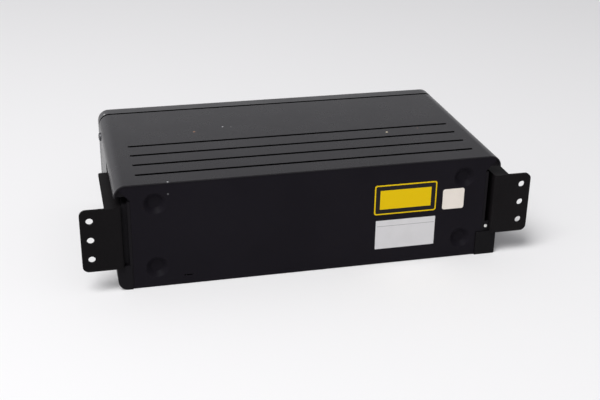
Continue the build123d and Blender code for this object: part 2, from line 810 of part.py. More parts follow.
def lift_drive():
    """Compound lift gear, motor pinion, flat motor, and the bridge over the guide rods."""
    z = lift_axis_z()
    pinion = gear_outline(lift_pinion_teeth, rack_module, -90, mesh_relief)
    wheel = gear_outline(lift_wheel_teeth, fine_module, 0, mesh_relief)
    wheel_y = cam_y + gear_t + 0.5
    gear = along_y(pinion, cam_y, wheel_y) + along_y(wheel, wheel_y, wheel_y + wheel_t)
    gear -= bar_y(0, (cam_y - 1, wheel_y + wheel_t + 1), 0, gear_stud_r + running_fit)
    save("lift_gear", Pos(lift_gear_x, 0, z) * gear)
    far = (lift_wheel_teeth + motor_pinion_teeth) * fine_module / 2
    tooth = 180.0 / motor_pinion_teeth
    facing = gear_outline(motor_pinion_teeth, fine_module, 180 + tooth, mesh_relief)
    small = along_y(facing, wheel_y - 0.2, wheel_y + wheel_t + 0.2)
    shaft = bar_y(0, (chassis_y - 0.2, wheel_y + wheel_t + 0.6), 0, motor_shaft_r)
    save("lift_motor_pinion", Pos(lift_gear_x + far, 0, z) * (small + shaft))
    can = bar_y(0, (chassis_y - 0.4 - motor_len, chassis_y - 0.4), 0, motor_r)
    can = fillet(can.edges().group_by(Axis.Y)[0], 1.2)
    collar = bar_y(0, (chassis_y - 0.4, chassis_y), 0, motor_r * 0.7)
    motor = can + collar - bar_y(0, (chassis_y - 5, chassis_y + 1), 0, motor_shaft_r + running_fit)
    save("lift_motor", Pos(lift_gear_x + far, 0, z) * motor)


def guide_rods():
    """Two upright rods for the deck, standing on the chassis base, and the bridge that holds their tops."""
    low = chassis_z + chassis_t
    rods = [bar_z(x, guide_y, (low, bridge_z + bridge_t / 2), guide_r) for x in guide_x]
    save("guide_rods", *rods)
    ends = (guide_x[0] - guide_bush_r, guide_x[1] + guide_bush_r)
    wall = chassis_y + chassis_t
    bridge = block(ends, (wall, guide_y + guide_bush_r), (bridge_z, bridge_z + bridge_t))
    bridge += block(ends, (wall, wall + bridge_t), (bridge_z - bridge_skirt, bridge_z + bridge_t))
    for x in guide_x:
        bridge -= bar_z(x, guide_y, (bridge_z - 1, bridge_z + bridge_t / 2), guide_r + 0.02)
    save("rod_bridge", bridge)


def dampers():
    """Rubber dampers from the dished seats to the chassis wall, and pads under its front corners."""
    seat = rear_inset + dish_depth + rear_t
    length = chassis_y - seat
    rubber = []
    for x in (-dish_x, dish_x):
        for z in (dish_z_low, dish_z_high):
            cone = Rot(-90, 0, 0) * Cone(dish_floor_r + 0.4, dish_r - 0.8, length)
            rubber.append(Pos(x, seat + length / 2, z) * cone)
    save("rear_dampers", *rubber)
    pads = []
    for side in (-1, 1):
        pad_x = side * (chassis_side_x - pad_in)
        pads.append(bar_z(pad_x, chassis_front - pad_back, (floor_t, chassis_z), pad_r))
    save("front_dampers", *pads)


# ---------------------------------------------------------------- magazine
def magazine_case():
    """Magazine shell, open towards the player: floor, rear and front ribbed walls, closed outer side."""
    x = (case_x, case_x + case_w)
    y = (case_y, case_y + case_len)
    z = (case_z, case_z + case_h - case_t)
    case = block(x, y, (z[0], z[0] + case_t))
    case += block((x[1] - case_t, x[1]), y, z)
    case += block((case_open_in, x[1]), (y[0], y[0] + case_back_t), z)
    case += block(x, (y[1] - case_back_t, y[1]), z)
    rib_h = tray_pitch - tray_t - tray_ledge_fit - rib_fit
    for n in range(1, tray_count):
        top = tray_low_z + n * tray_pitch - tray_ledge_fit
        level = (top - rib_h, top)
        case += block((case_open_in, x[1]), (y[0] + case_back_t, y[0] + case_back_t + rib_reach), level)
        case += block((x[0], x[1]), (y[1] - case_back_t - rib_reach, y[1] - case_back_t), level)
    case = fillet(case.edges().filter_by(Axis.Y).group_by(Axis.X)[-1].sort_by(Axis.Z)[0], 1.5)
    save("magazine_case", case)
    lid = block(x, y, (z[1], z[1] + case_t))
    lid = fillet(lid.edges().filter_by(Axis.Y).group_by(Axis.X)[-1].sort_by(Axis.Z)[-1], 1.5)
    arrow = outline((tray_x - 12, y[0] + 40), (tray_x + 12, y[0] + 40), (tray_x, y[0] + 22))
    lid -= along_z(arrow, z[1] + case_t - 0.5, z[1] + case_t + 1)
    save("magazine_lid", lid)


def magazine_face():
    """Front face of the magazine with a finger grip, flush with the bezel."""
    x = (case_x, case_x + case_w)
    z = (case_z, case_z + case_h)
    back = case_y + case_len
    body = along_y(plate(x, z, 2.0), back, body_d + face_proud)
    body = fillet(body.faces().sort_by(Axis.Y)[-1].edges(), 0.8)
    middle = (case_x + case_w / 2, case_z + case_h / 2)
    scoop = Pos(*middle) * SlotOverall(grip_w, grip_h)
    body -= along_y(scoop, body_d + face_proud - grip_d, body_d + 2)
    for n in (-1, 0, 1):
        bar = Pos(middle[0], middle[1] + n * grip_h / 4) * SlotOverall(grip_w - grip_h, 1.6)
        body += along_y(bar, body_d + face_proud - grip_d - 0.2, body_d + face_proud - 0.6)
    save("magazine_face", body)


def disc_tray(level):
    """One disc tray at a level: rim, disc recess, window for the spindle and the pickup, pull notch."""
    x = (tray_x - tray_w / 2, tray_x + tray_w / 2)
    y = (tray_y - tray_l / 2, tray_y + tray_l / 2)
    sheet = plate(x, y, tray_corner)
    hook = (x[0] + notch_in, x[0] + notch_in + notch_w)
    sheet -= plate(hook, (y[0] - 1, y[0] + notch_d))
    window = Pos(tray_x, tray_y) * Circle(tray_window_r)
    half = tray_window_w / 2
    window += plate((tray_x - half, tray_x + half), (tray_y - tray_window_len, tray_y))
    tray = along_z(sheet - window, 0, tray_t)
    recess = Pos(tray_x, tray_y) * Circle(disc_d / 2 + tray_recess_fit)
    tray -= along_z(recess, tray_floor_t, tray_t + 1)
    return Pos(0, 0, tray_low_z + (tray_count - level) * tray_pitch) * tray


def trays():
    """All trays, the first at the top."""
    for level in range(1, tray_count + 1):
        save(f"disc_tray_{level:02d}", disc_tray(level))


def cradle():
    """Two rails that carry the magazine, standing on the chassis base."""
    low = chassis_z + chassis_t
    rails = []
    for x in (case_x + 10, case_x + case_w - 18):
        section = outline((x, low), (x + 8, low), (x + 8, case_z - 0.3), (x, case_z - 0.3))
        rail = along_y(section, case_y, chassis_front)
        rail -= block((x + 2, x + 6), (case_y + 4, chassis_front - 4), (low, case_z - 2.3))
        rails.append(rail)
    save("magazine_rails", *rails)


# ---------------------------------------------------------------- lift deck
def lift_deck():
    """Deck frame that rises along the rods: open base, rear wall, tray ledges, bushes, cam pins, posts."""
    x = (deck_x0, deck_x1)
    y = (deck_y0, deck_y1)
    floor = plate(x, y, 3)
    opening = plate((x[0] + deck_open_x, x[1] - deck_open_x), (y[0] + deck_open_y, y[1] - deck_open_front), 4)
    deck = along_z(floor - opening, deck_z, deck_z + deck_t)
    ledge = tray_z - ledge_gap
    wall_top = ledge
    deck += block((x[0] + 3, x[1] - 3), (y[0], y[0] + deck_t), (deck_z, wall_top))
    deck += block((x[0] + 3, x[1] - 3), (y[1] - deck_t, y[1]), (deck_z, tray_z + tray_t + 2))
    rear_ledge = (y[0], tray_y - tray_l / 2 + ledge_reach)
    front_ledge = (tray_y + tray_l / 2 - ledge_reach, y[1])
    for span in (rear_ledge, front_ledge):
        deck += block((x[0] + 3, x[1] - 3), span, (ledge - ledge_t, ledge))
    rail_end = hook_place() - puller_from_hook + 1
    deck += block((x[1] - 3, rail_end), (y[0], y[0] + puller_rail - 0.7), (ledge - ledge_t, ledge))
    gap_x = (spindle_x - sled_window, spindle_x + sled_window)
    deck -= block(gap_x, (y[0] + puller_rail + 0.4, rear_ledge[1] + 1), (ledge - ledge_t - 1, ledge + 1))
    bush_top = tray_z + 8
    for gx in guide_x:
        deck += bar_z(gx, guide_y, (deck_z, bush_top), guide_bush_r)
        deck += block((gx - 3, gx + 3), (guide_y, y[0]), (deck_z, bush_top))
    for gx in guide_x:
        deck -= bar_z(gx, guide_y, (deck_z - 1, bush_top + 1), guide_r + running_fit)
    for px in pin_x:
        deck += bar_y(px, (chassis_y - 0.6, y[0] + deck_t), pin_top_z, pin_r)
    for px, py in post_places():
        deck += bar_z(px, py, (deck_z, ledge - ledge_t), post_r)
        deck += bar_z(px, py, (deck_z, deck_z + trav_above_deck - 0.1), post_r + 1.5)
    crook = tray_z + ear_clear
    ear_top = hinge_z + 3
    ear_low = [(y[0] - 1.6, ledge - 8), (y[0], ledge - 8), (y[0], crook), (hinge_y + 2.4, crook)]
    ear = outline(*ear_low, (hinge_y + 2.4, ear_top), (y[0] - 1.6, ear_top))
    for side in (-1, 1):
        ear_x = spindle_x + side * (arm_root_w / 2 + 1 + ear_t / 2)
        deck += along_x(ear, ear_x - ear_t / 2, ear_x + ear_t / 2)
        deck -= bar_x((ear_x - ear_t, ear_x + ear_t), hinge_y, hinge_z, hinge_r + 0.02)
    save("lift_deck", deck)


def hook_place():
    """Where the blade of the puller stands at rest, in the notches of the trays."""
    return tray_x - tray_w / 2 + notch_in + notch_w / 2


def post_places():
    """The three posts that guide the traverse."""
    left = deck_x0 + deck_open_x / 2
    right = deck_x1 - deck_open_x / 2
    return ((left, tray_y - 40), (left, tray_y + 30), (right, tray_y - 5))


def clamp_arm():
    """Clamp arm on its hinge pin, drawn closed and then raised, with the free turning puck."""
    reach = tray_y - hinge_y
    base = seat_height() + trav_travel + disc_t + 0.3
    arm_z = base + puck_t + 0.5
    root = arm_root_w / 2
    tip = arm_tip_w / 2
    shape = outline((-root, -1), (root, -1), (root, 8), (tip, reach), (-tip, reach), (-root, 8))
    shape += Pos(0, reach) * Circle(tip)
    shape -= Pos(0, reach) * Circle(puck_hub_r + 0.4)
    shape -= Pos(0, reach * 0.45) * Circle(tip * 0.6)
    arm = Pos(0, hinge_y, 0) * along_z(shape, arm_z, arm_z + arm_t)
    for side in (-1, 1):
        cheek_x = sorted((side * (root - 1.2), side * root))
        foot = [(hinge_y - 3, hinge_z - 3), (hinge_y + 5, hinge_z - 3)]
        cheek = outline(*foot, (hinge_y + 8, arm_z + arm_t), (hinge_y - 1, arm_z + arm_t))
        arm += along_x(cheek, *cheek_x)
    arm -= bar_x((-root - 1, root + 1), hinge_y, hinge_z, hinge_r + running_fit)
    puck = Pos(0, tray_y, 0) * bar_z(0, 0, (base, base + puck_t), puck_r)
    puck += Pos(0, tray_y, 0) * bar_z(0, 0, (base, arm_z + arm_t + 1.2), puck_hub_r)
    puck += Pos(0, tray_y, 0) * bar_z(0, 0, (arm_z + arm_t + 0.4, arm_z + arm_t + 1.4), puck_hub_r + 1.8)
    puck -= Pos(0, tray_y, 0) * bar_z(0, 0, (base - 1, base + 1.8), cone_r + 0.6)
    turn = Pos(spindle_x, hinge_y, hinge_z) * Rot(arm_open, 0, 0) * Pos(0, -hinge_y, -hinge_z)
    save("clamp_arm", turn * arm)
    save("clamp_puck", turn * puck)
    ends = arm_root_w / 2 + 3.4
    save("hinge_pin", bar_x((spindle_x - ends, spindle_x + ends), hinge_y, hinge_z, hinge_r))


def tray_puller():
    """Slider on the deck's rear ledge whose blade sits in the trays' notches and draws one tray."""
    hook_x = hook_place()
    low = tray_z + 0.2
    high = tray_z + tray_t - 0.2
    end = hook_x - puller_from_hook
    foot_y = (deck_y0 + 0.3, deck_y0 + puller_rail)
    foot = block((end - puller_foot, end), foot_y, (tray_z - ledge_gap + 0.1, high))
    arm = block((end, hook_x + puller_t / 2), (deck_y0 + 1.0, deck_y0 + 1.0 + puller_t), (low, high))
    tip_y = tray_y - tray_l / 2 + notch_d - 0.5
    blade = block((hook_x - puller_t / 2, hook_x + puller_t / 2), (deck_y0 + 1.0, tip_y), (low, high))
    save("tray_puller", foot + arm + blade)


# ---------------------------------------------------------------- traverse with spindle and pickup
def traverse():
    """Traverse plate on the three posts, with spindle motor, sled rods, sled motor and gear."""
    z = (deck_z + trav_above_deck, deck_z + trav_above_deck + trav_t)
    places = post_places()
    x = (min(p[0] for p in places) - 4, max(p[0] for p in places) + 4)
    y = (deck_y0 + trav_rear_gap, tray_y + 36)
    half = sled_rod_x - 1.5
    window = plate((spindle_x - half, spindle_x + half), (y[0] + trav_rim, tray_y - spindle_r - 1), 2)
    sheet = along_z(plate(x, y, 3) - window, *z)
    through = (z[0] - 1, z[1] + 1)
    sheet -= bar_z(spindle_x, tray_y, through, spindle_neck_r + 0.1)
    sheet -= bar_z(*sled_motor_place(), through, 1.3)
    for px, py in places:
        sheet -= bar_z(px, py, through, post_r + running_fit)
    save("traverse_plate", sheet)
    seat = seat_height()
    can = bar_z(spindle_x, tray_y, (deck_z - 0.3, z[0]), spindle_r)
    neck_top = seat - turntable_t - 0.4
    can += bar_z(spindle_x, tray_y, (z[0], neck_top), spindle_neck_r)
    can -= bar_z(spindle_x, tray_y, (z[0] - 1, neck_top + 1), 1.0 + running_fit)
    save("spindle_motor", can)
    return z, y, seat


def seat_height():
    """Height of the turntable's seat while the traverse is low, its cone just under the trays."""
    return tray_z - 1.2 - cone_h


def sled_rack_x():
    """Pitch line of the rack on the pickup."""
    return spindle_x + sled_rod_x + 6.0


def sled_motor_place():
    """Axis of the sled motor, beside the sled gear."""
    far = (sled_gear_teeth + motor_pinion_teeth) * fine_module / 2
    return sled_rack_x() + sled_gear_teeth * fine_module / 2, tray_y - lens_start + far


def turntable(z, top):
    """Turntable with its centring cone on the motor shaft."""
    disc = bar_z(0, 0, (top - turntable_t, top), turntable_r)
    cone = Pos(0, 0, top + cone_h / 2) * Cone(cone_r, cone_r - 1.6, cone_h)
    shaft = bar_z(0, 0, (z[0] - 0.8, top), 1.0)
    save("turntable", Pos(spindle_x, tray_y, 0) * (disc + cone + shaft))


def pickup(z, y):
    """Sled rods, the optical pickup with its rack, the lens in its holder, gear and motor of the sled."""
    rod_z = z[1] + 1.6
    rods = []
    for side in (-1, 1):
        rx = spindle_x + side * sled_rod_x
        rods.append(bar_y(rx, (y[0] + 1, tray_y - 16), rod_z, sled_rod_r))
    save("sled_rods", *rods)
    clips = []
    for side in (-1, 1):
        rx = spindle_x + side * sled_rod_x
        clip = block((rx - 2.2, rx + 2.2), (y[0] + 0.5, y[0] + 0.5 + clip_w), (z[1], rod_z + 1.9))
        clips.append(clip - bar_y(rx, (y[0], y[0] + 4), rod_z, sled_rod_r + 0.02))
    save("rod_clips", *clips)
    lens_y = tray_y - lens_start
    low = z[0] - 1.5
    front = lens_y - sled_reach_out
    body = block((spindle_x - 14, spindle_x + 14), (front, lens_y + sled_reach_in), (low, rod_z + 3))
    for side in (-1, 1):
        rx = spindle_x + side * sled_rod_x
        ear_z = (z[1] + 0.3, rod_z + 2.2)
        body += block((spindle_x + side * 13, rx + side * 2.4), (front, lens_y + sled_ear_in), ear_z)
        body -= bar_y(rx, (lens_y - 20, lens_y + 20), rod_z, sled_rod_r + running_fit)
    body -= block((spindle_x - 6, spindle_x + 6), (lens_y - 4.2, lens_y + 4.2), (rod_z + 0.4, rod_z + 4))
    pitch = pi * fine_module
    line = sled_rack_x()
    count = int(sled_travel / pitch) + 8
    start = lens_y - 3.5 * pitch
    level = (rod_z - 0.8, rod_z + 0.8)
    rack = plate((line - 3.4, line - 1.25 * fine_module), (start - pitch, start + count * pitch))
    for tooth in rack_teeth(count, fine_module, start, line):
        rack += swap_xy(tooth)
    body += along_z(rack, *level)
    body += block((spindle_x + sled_rod_x + 1.5, line - 2.6), (lens_y - 4, lens_y + 4), level)
    save("pickup_sled", body)
    holder = bar_z(spindle_x, lens_y, (rod_z + 0.4 + 2 * lens_play, rod_z + 3.4), lens_holder_r)
    holder -= bar_z(spindle_x, lens_y, (rod_z + 2.8, rod_z + 4), lens_r)
    save("lens_holder", holder)
    glass = bar_z(spindle_x, lens_y, (rod_z + 2.8, rod_z + 3.2), lens_r)
    dome = Pos(spindle_x, lens_y, rod_z + 3.6) * Cone(lens_r, lens_r - 1.0, 0.8)
    save("lens", glass + dome)
    gx, motor_y = sled_motor_place()
    gear = along_z(gear_outline(sled_gear_teeth, fine_module, 180, mesh_relief), *level)
    gear -= bar_z(0, 0, (rod_z - 2, rod_z + 2), 1.0 + running_fit)
    save("sled_gear", Pos(gx, lens_y, 0) * gear)
    axle = bar_z(gx, lens_y, (z[1], rod_z + 1.4), 1.0) + bar_z(gx, lens_y, (z[1], rod_z - 0.9), 2.0)
    save("sled_gear_axle", axle)
    facing = 270 + 180.0 / motor_pinion_teeth
    wide = (rod_z - 0.9, rod_z + 0.9)
    pinion = along_z(gear_outline(motor_pinion_teeth, fine_module, facing, mesh_relief), *wide)
    shaft = bar_z(0, 0, (z[0] - 1, rod_z + 1.2), 0.8)
    save("sled_motor_pinion", Pos(gx, motor_y, 0) * (pinion + shaft))
    motor = bar_z(gx, motor_y, (deck_z - 0.3, z[0]), 5.5)
    motor -= bar_z(gx, motor_y, (z[0] - 1.2, z[0] + 1), 0.8 + running_fit)
    save("sled_motor", motor)


def swap_xy(face):
    """The same sketch with its two directions exchanged."""
    return mirror(face, about=Plane((0, 0, 0), x_dir=(0, 0, 1), z_dir=(1, -1, 0)))


# ---------------------------------------------------------------- boards
def main_board():
    """Main board above the magazine on four stand-offs, with its components as separate solids."""
    x = (board_start[0], side_x - frame_wall - board_margin)
    y = (board_start[1], cover_len - board_front)
    board = block(x, y, (board_z, board_z + board_t))
    in_x, in_y = board_hole_in
    places = [(px, py) for px in (x[0] + in_x, x[1] - in_x) for py in (y[0] + in_y, y[1] - in_y)]
    sheet_top = board_z - standoff_h
    shelf_x = (x[0] - 4, side_x - frame_wall)
    shelf = block(shelf_x, (y[0] - in_y, y[1]), (sheet_top - bracket_sheet, sheet_top))
    rim_x = (shelf_x[0], shelf_x[0] + bracket_sheet)
    shelf += block(rim_x, (y[0] - in_y, y[1]), (sheet_top, board_z + board_t + shelf_rim_h))
    flange_x = (shelf_x[1] - bracket_sheet, shelf_x[1])
    shelf += block(flange_x, (y[0] - in_y, y[1]), (sheet_top - shelf_flange, sheet_top))
    for px, py in places:
        board -= bar_z(px, py, (board_z - 1, board_z + board_t + 1), 1.6)
        shelf += bar_z(px, py, (sheet_top, board_z), 3.0)
        shelf += bar_z(px, py, (board_z, board_z + board_t + 0.6), 1.5)
    save("board_shelf", shelf)
    save("main_board", board)
    top = board_z + board_t
    parts = []
    for px, py, width, depth, height in board_chips:
        parts.append(Pos(px, py, top + height / 2) * Box(width, depth, height))
    for n in range(4):
        px = capacitor_x + capacitor_pitch * n
        parts.append(bar_z(px, capacitor_y, (top, top + capacitor_h), capacitor_r))
    save("board_components", *parts)


top_cover()
bottom_plate()
rear_plate()
side_frames()
corner_cap()
front_bezel()
brackets_and_screws()
bus_socket()
front_controls()
mechanism_chassis()
lift_cam()
lift_drive()
guide_rods()
dampers()
magazine_case()
magazine_face()
trays()
cradle()
lift_deck()
clamp_arm()
tray_puller()
plate_z, plate_y, seat_z = traverse()
turntable(plate_z, seat_z)
pickup(plate_z, plate_y)
main_board()
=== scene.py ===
"""Looks of a car CD changer: finishes, stickers, screws, board parts, studio floor, light and camera.

Lengths are written in millimetres and turned to metres by MM. The row frame has X along the rear
face, Y from the rear plate to the magazine mouth and Z up, with Z = 0 at the underside.
"""
import logging
import math
from dataclasses import dataclass
from enum import Enum
from typing import Protocol

import bmesh
import bpy
import numpy as np
from mathutils import Matrix, Vector


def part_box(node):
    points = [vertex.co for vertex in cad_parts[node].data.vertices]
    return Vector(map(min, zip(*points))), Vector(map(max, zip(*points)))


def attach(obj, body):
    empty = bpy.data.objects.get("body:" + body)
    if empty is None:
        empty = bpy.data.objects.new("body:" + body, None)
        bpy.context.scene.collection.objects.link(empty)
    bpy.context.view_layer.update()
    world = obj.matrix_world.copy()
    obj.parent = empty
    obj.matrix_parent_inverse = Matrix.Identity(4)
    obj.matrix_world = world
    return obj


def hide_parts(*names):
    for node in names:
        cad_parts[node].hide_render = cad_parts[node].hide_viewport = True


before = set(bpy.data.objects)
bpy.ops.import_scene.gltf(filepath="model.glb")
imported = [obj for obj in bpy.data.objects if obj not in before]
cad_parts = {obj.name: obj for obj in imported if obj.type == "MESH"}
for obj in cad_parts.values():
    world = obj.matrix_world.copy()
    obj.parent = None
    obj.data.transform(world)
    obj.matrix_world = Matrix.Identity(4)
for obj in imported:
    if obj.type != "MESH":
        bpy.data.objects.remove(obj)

log = logging.getLogger("changer")
MM = 0.001
MERGE = 1e-7
Colour = tuple[float, float, float]
Point = tuple[float, float, float]
Span = tuple[float, float]


# ---------------------------------------------------------------- node materials
class Graph:
    """Short ways to write one node material on Object coordinates."""

    def __init__(self, name: str) -> None:
        """Start a material with one shader.

        Args:
            name: the material's name.
        """
        self.material = bpy.data.materials.new(name)
        self.material.use_nodes = True
        self.tree = self.material.node_tree
        self.tree.nodes.clear()
        self.shader = self.add("ShaderNodeBsdfPrincipled")
        self.output = self.add("ShaderNodeOutputMaterial")
        self.link(self.shader.outputs[0], self.output.inputs[0])
        self.place = self.add("ShaderNodeTexCoord").outputs["Object"]

    def add(self, kind: str, **settings: object) -> bpy.types.Node:
        """Add a node.

        Args:
            kind: the node's type.
            settings: its plain properties.

        Returns:
            The new node.
        """
        node = self.tree.nodes.new(kind)
        for key, value in settings.items():
            setattr(node, key, value)
        return node

    def link(self, source: bpy.types.NodeSocket, target: bpy.types.NodeSocket) -> None:
        """Join two sockets."""
        self.tree.links.new(source, target)

    def feed(self, target: bpy.types.NodeSocket, value: object) -> None:
        """Give a socket its input.

        Args:
            target: the socket that is fed.
            value: another socket, or a plain value.
        """
        if isinstance(value, bpy.types.NodeSocket):
            self.link(value, target)
        else:
            target.default_value = value

    def math(self, operation: str, a: object, b: object = 0.0) -> bpy.types.NodeSocket:
        """One scalar operation.

        Args:
            operation: its name in the math node.
            a: first number or socket.
            b: second number or socket.

        Returns:
            The result.
        """
        node = self.add("ShaderNodeMath", operation=operation)
        self.feed(node.inputs[0], a)
        self.feed(node.inputs[1], b)
        return node.outputs[0]

    def axes(self) -> tuple[bpy.types.NodeSocket, bpy.types.NodeSocket, bpy.types.NodeSocket]:
        """Object coordinates as scalars.

        Returns:
            The sockets of X, Y and Z.
        """
        parts = self.add("ShaderNodeSeparateXYZ")
        self.link(self.place, parts.inputs[0])
        return parts.outputs["X"], parts.outputs["Y"], parts.outputs["Z"]

    def stretched(self, scale: Point) -> bpy.types.NodeSocket:
        """Object coordinates, stretched.

        Args:
            scale: the factor along each axis.

        Returns:
            The stretched vector.
        """
        node = self.add("ShaderNodeMapping")
        self.link(self.place, node.inputs["Vector"])
        node.inputs["Scale"].default_value = scale
        return node.outputs[0]

    def noise(self, size: float, detail: float = 2.0, stretch: Point = (1, 1, 1)) -> bpy.types.NodeSocket:
        """Smooth noise from 0 to 1.

        Args:
            size: the width of one grain, in metres.
            detail: how many finer octaves are added.
            stretch: factors on the coordinates before the noise.

        Returns:
            The noise value.
        """
        node = self.add("ShaderNodeTexNoise")
        self.link(self.stretched(stretch), node.inputs["Vector"])
        node.inputs["Scale"].default_value = 1.0 / size
        node.inputs["Detail"].default_value = detail
        return node.outputs["Fac"]

    def between(self, value: bpy.types.NodeSocket, low: float, high: float,
                to_low: float = 0.0, to_high: float = 1.0) -> bpy.types.NodeSocket:
        """Value carried smoothly from one range to another.

        Args:
            value: the value.
            low: start of its range.
            high: end of its range.
            to_low: what low becomes.
            to_high: what high becomes.

        Returns:
            The new value, which stays within its range.
        """
        node = self.add("ShaderNodeMapRange", interpolation_type="SMOOTHSTEP")
        self.link(value, node.inputs["Value"])
        node.inputs["From Min"].default_value = low
        node.inputs["From Max"].default_value = high
        node.inputs["To Min"].default_value = to_low
        node.inputs["To Max"].default_value = to_high
        return node.outputs["Result"]

    def tint(self, share: object, first: object, second: object) -> bpy.types.NodeSocket:
        """Blend of two colours.

        Args:
            share: 0 for the first, 1 for the second.
            first: a colour or socket.
            second: a colour or socket.

        Returns:
            The blended colour.
        """
        node = self.add("ShaderNodeMix", data_type="RGBA")
        self.feed(node.inputs["Factor"], share)
        for socket, colour in ((node.inputs[6], first), (node.inputs[7], second)):
            self.feed(socket, colour if isinstance(colour, bpy.types.NodeSocket) else (*colour, 1.0))
        return node.outputs[2]

    def relief(self, height: bpy.types.NodeSocket, depth: float, strength: float = 1.0) -> None:
        """Bump of the shader's normal.

        Args:
            height: 0 to 1.
            depth: what height 1 stands for, in metres.
            strength: share of the bump that shows.
        """
        node = self.add("ShaderNodeBump")
        node.inputs["Strength"].default_value = strength
        node.inputs["Distance"].default_value = depth
        self.link(height, node.inputs["Height"])
        self.link(node.outputs[0], self.shader.inputs["Normal"])

    def spot(self, centre: Point, radius: float) -> bpy.types.NodeSocket:
        """Soft ball.

        Args:
            centre: its middle, in metres.
            radius: its radius, in metres.

        Returns:
            1 inside and 0 outside, with a rim of a third of the radius.
        """
        node = self.add("ShaderNodeVectorMath", operation="DISTANCE")
        self.link(self.place, node.inputs[0])
        node.inputs[1].default_value = centre
        return self.between(node.outputs["Value"], radius * 0.7, radius, 1.0, 0.0)

    def round_box(self, x: Span, z: Span, radius: float) -> bpy.types.NodeSocket:
        """1 inside a rectangle with round corners in the XZ plane, 0 outside.

        The distance to it is |max(|p - c| - h + r, 0)| - r, with centre c, half sizes h and corner radius r.

        Args:
            x: left and right edge, in metres.
            z: low and high edge, in metres.
            radius: corner radius, in metres.

        Returns:
            The mask, with an edge 0.1 mm soft.
        """
        along, _, up = self.axes()
        reach = []
        for socket, (low, high) in ((along, x), (up, z)):
            away = self.math("ABSOLUTE", self.math("SUBTRACT", socket, (low + high) / 2))
            reach.append(self.math("MAXIMUM", self.math("SUBTRACT", away, (high - low) / 2 - radius), 0.0))
        square = self.math("ADD", self.math("POWER", reach[0], 2.0), self.math("POWER", reach[1], 2.0))
        distance = self.math("SQRT", square)
        return self.between(distance, radius - 0.05 * MM, radius + 0.05 * MM, 1.0, 0.0)

    def surface(self, metallic: float = 0.0, specular: float = 0.5, roughness: float | None = None) -> None:
        """Set the shader's constants.

        Args:
            metallic: 0 to 1.
            specular: level of the dielectric gloss.
            roughness: left as it is where it is None.
        """
        self.shader.inputs["Metallic"].default_value = metallic
        self.shader.inputs["Specular IOR Level"].default_value = specular
        if roughness is not None:
            self.shader.inputs["Roughness"].default_value = roughness

    def dull(self, specular: float, mask: bpy.types.NodeSocket) -> None:
        """Take the gloss away where the mask is 1."""
        level = self.math("MULTIPLY", self.math("SUBTRACT", 1.0, mask), specular)
        self.link(level, self.shader.inputs["Specular IOR Level"])

    def colour(self, value: bpy.types.NodeSocket) -> None:
        """Feed the shader's base colour."""
        self.link(value, self.shader.inputs["Base Color"])

    def roughness(self, value: bpy.types.NodeSocket) -> None:
        """Feed the shader's roughness."""
        self.link(value, self.shader.inputs["Roughness"])


def scaled(colour: Colour, factor: float) -> Colour:
    """The same hue, darker or lighter."""
    return tuple(c * factor for c in colour)


# ---------------------------------------------------------------- finishes
class Finish(Protocol):
    """What a piece is dressed in."""

    name: str

    def material(self) -> bpy.types.Material:
        """Write the node material."""


@dataclass(frozen=True)
class Chip:
    """A small mark in the paint: where, how wide and which colour shows."""

    place: Point
    radius: float
    colour: Colour


@dataclass(frozen=True)
class GrooveShade:
    """Painted shade of equal pressed grooves along X: their lines are painted dark and lose their gloss."""

    half_length: float = 136.8 * MM
    first_y: float = -67.6 * MM
    pitch: float = 19.9 * MM
    count: int = 4
    half_width: float = 1.55 * MM
    rim: float = 0.3 * MM
    shade: float = 0.1

    def mask(self, g: Graph) -> bpy.types.NodeSocket:
        """1 along the grooves, where their shade is painted, 0 on the rest.

        The way to the nearest groove's middle is |frac((y - first) / pitch + 1/2) - 1/2| * pitch.

        Args:
            g: the graph that the mask is written in.

        Returns:
            The mask.
        """
        along, depth, _ = g.axes()
        turns = g.math("DIVIDE", g.math("SUBTRACT", depth, self.first_y), self.pitch)
        share = g.math("SUBTRACT", g.math("FRACT", g.math("ADD", turns, 0.5)), 0.5)
        away = g.math("MULTIPLY", g.math("ABSOLUTE", share), self.pitch)
        near = g.between(away, self.half_width - self.rim, self.half_width, 1.0, 0.0)
        inside = g.math("LESS_THAN", g.math("ABSOLUTE", along), self.half_length)
        from_middle = g.math("ABSOLUTE", g.math("SUBTRACT", turns, (self.count - 1) / 2))
        row = g.math("LESS_THAN", from_middle, self.count / 2)
        return g.math("MULTIPLY", near, g.math("MULTIPLY", inside, row))


@dataclass(frozen=True)
class GrainPaint:
    """Baked paint on sheet steel with a fine leather-like grain, chips and painted shade in the grooves."""

    name: str
    base: Colour
    light: Colour
    grain: float = 0.5 * MM
    depth: float = 0.03 * MM
    rough: float = 0.5
    specular: float = 0.4
    mottle: float = 0.2
    chips: tuple[Chip, ...] = ()
    groove_shade: GrooveShade | None = None
    drift_size: float = 60 * MM
    wear_size: float = 22 * MM

    def material(self) -> bpy.types.Material:
        """Colour drifts between two tones, grain bumps the surface, the grooves' painted shade and the chips
        come last.

        Returns:
            The material.
        """
        g = Graph(self.name)
        drift = g.noise(self.drift_size, 3.0)
        fine = g.noise(self.grain, 3.0)
        wear = g.noise(self.wear_size, 4.0)
        tone = g.tint(g.between(drift, 0.3, 0.7), self.base, self.light)
        tone = g.tint(g.between(fine, 0.35, 0.65, 0.0, self.mottle), tone, scaled(self.base, 0.5))
        # painted shade: the grooves' lines are darkened by the shade factor
        if self.groove_shade:
            mask = self.groove_shade.mask(g)
            tone = g.tint(mask, tone, scaled(self.base, self.groove_shade.shade))
        for chip in self.chips:
            tone = g.tint(g.spot(chip.place, chip.radius), tone, chip.colour)
        g.colour(tone)
        g.roughness(g.between(wear, 0.3, 0.75, self.rough - 0.01, self.rough + 0.015))
        g.relief(fine, self.depth)
        g.surface(specular=self.specular)
        # the painted groove shade also has its gloss taken away
        if self.groove_shade:
            g.dull(self.specular, mask)
        return g.material


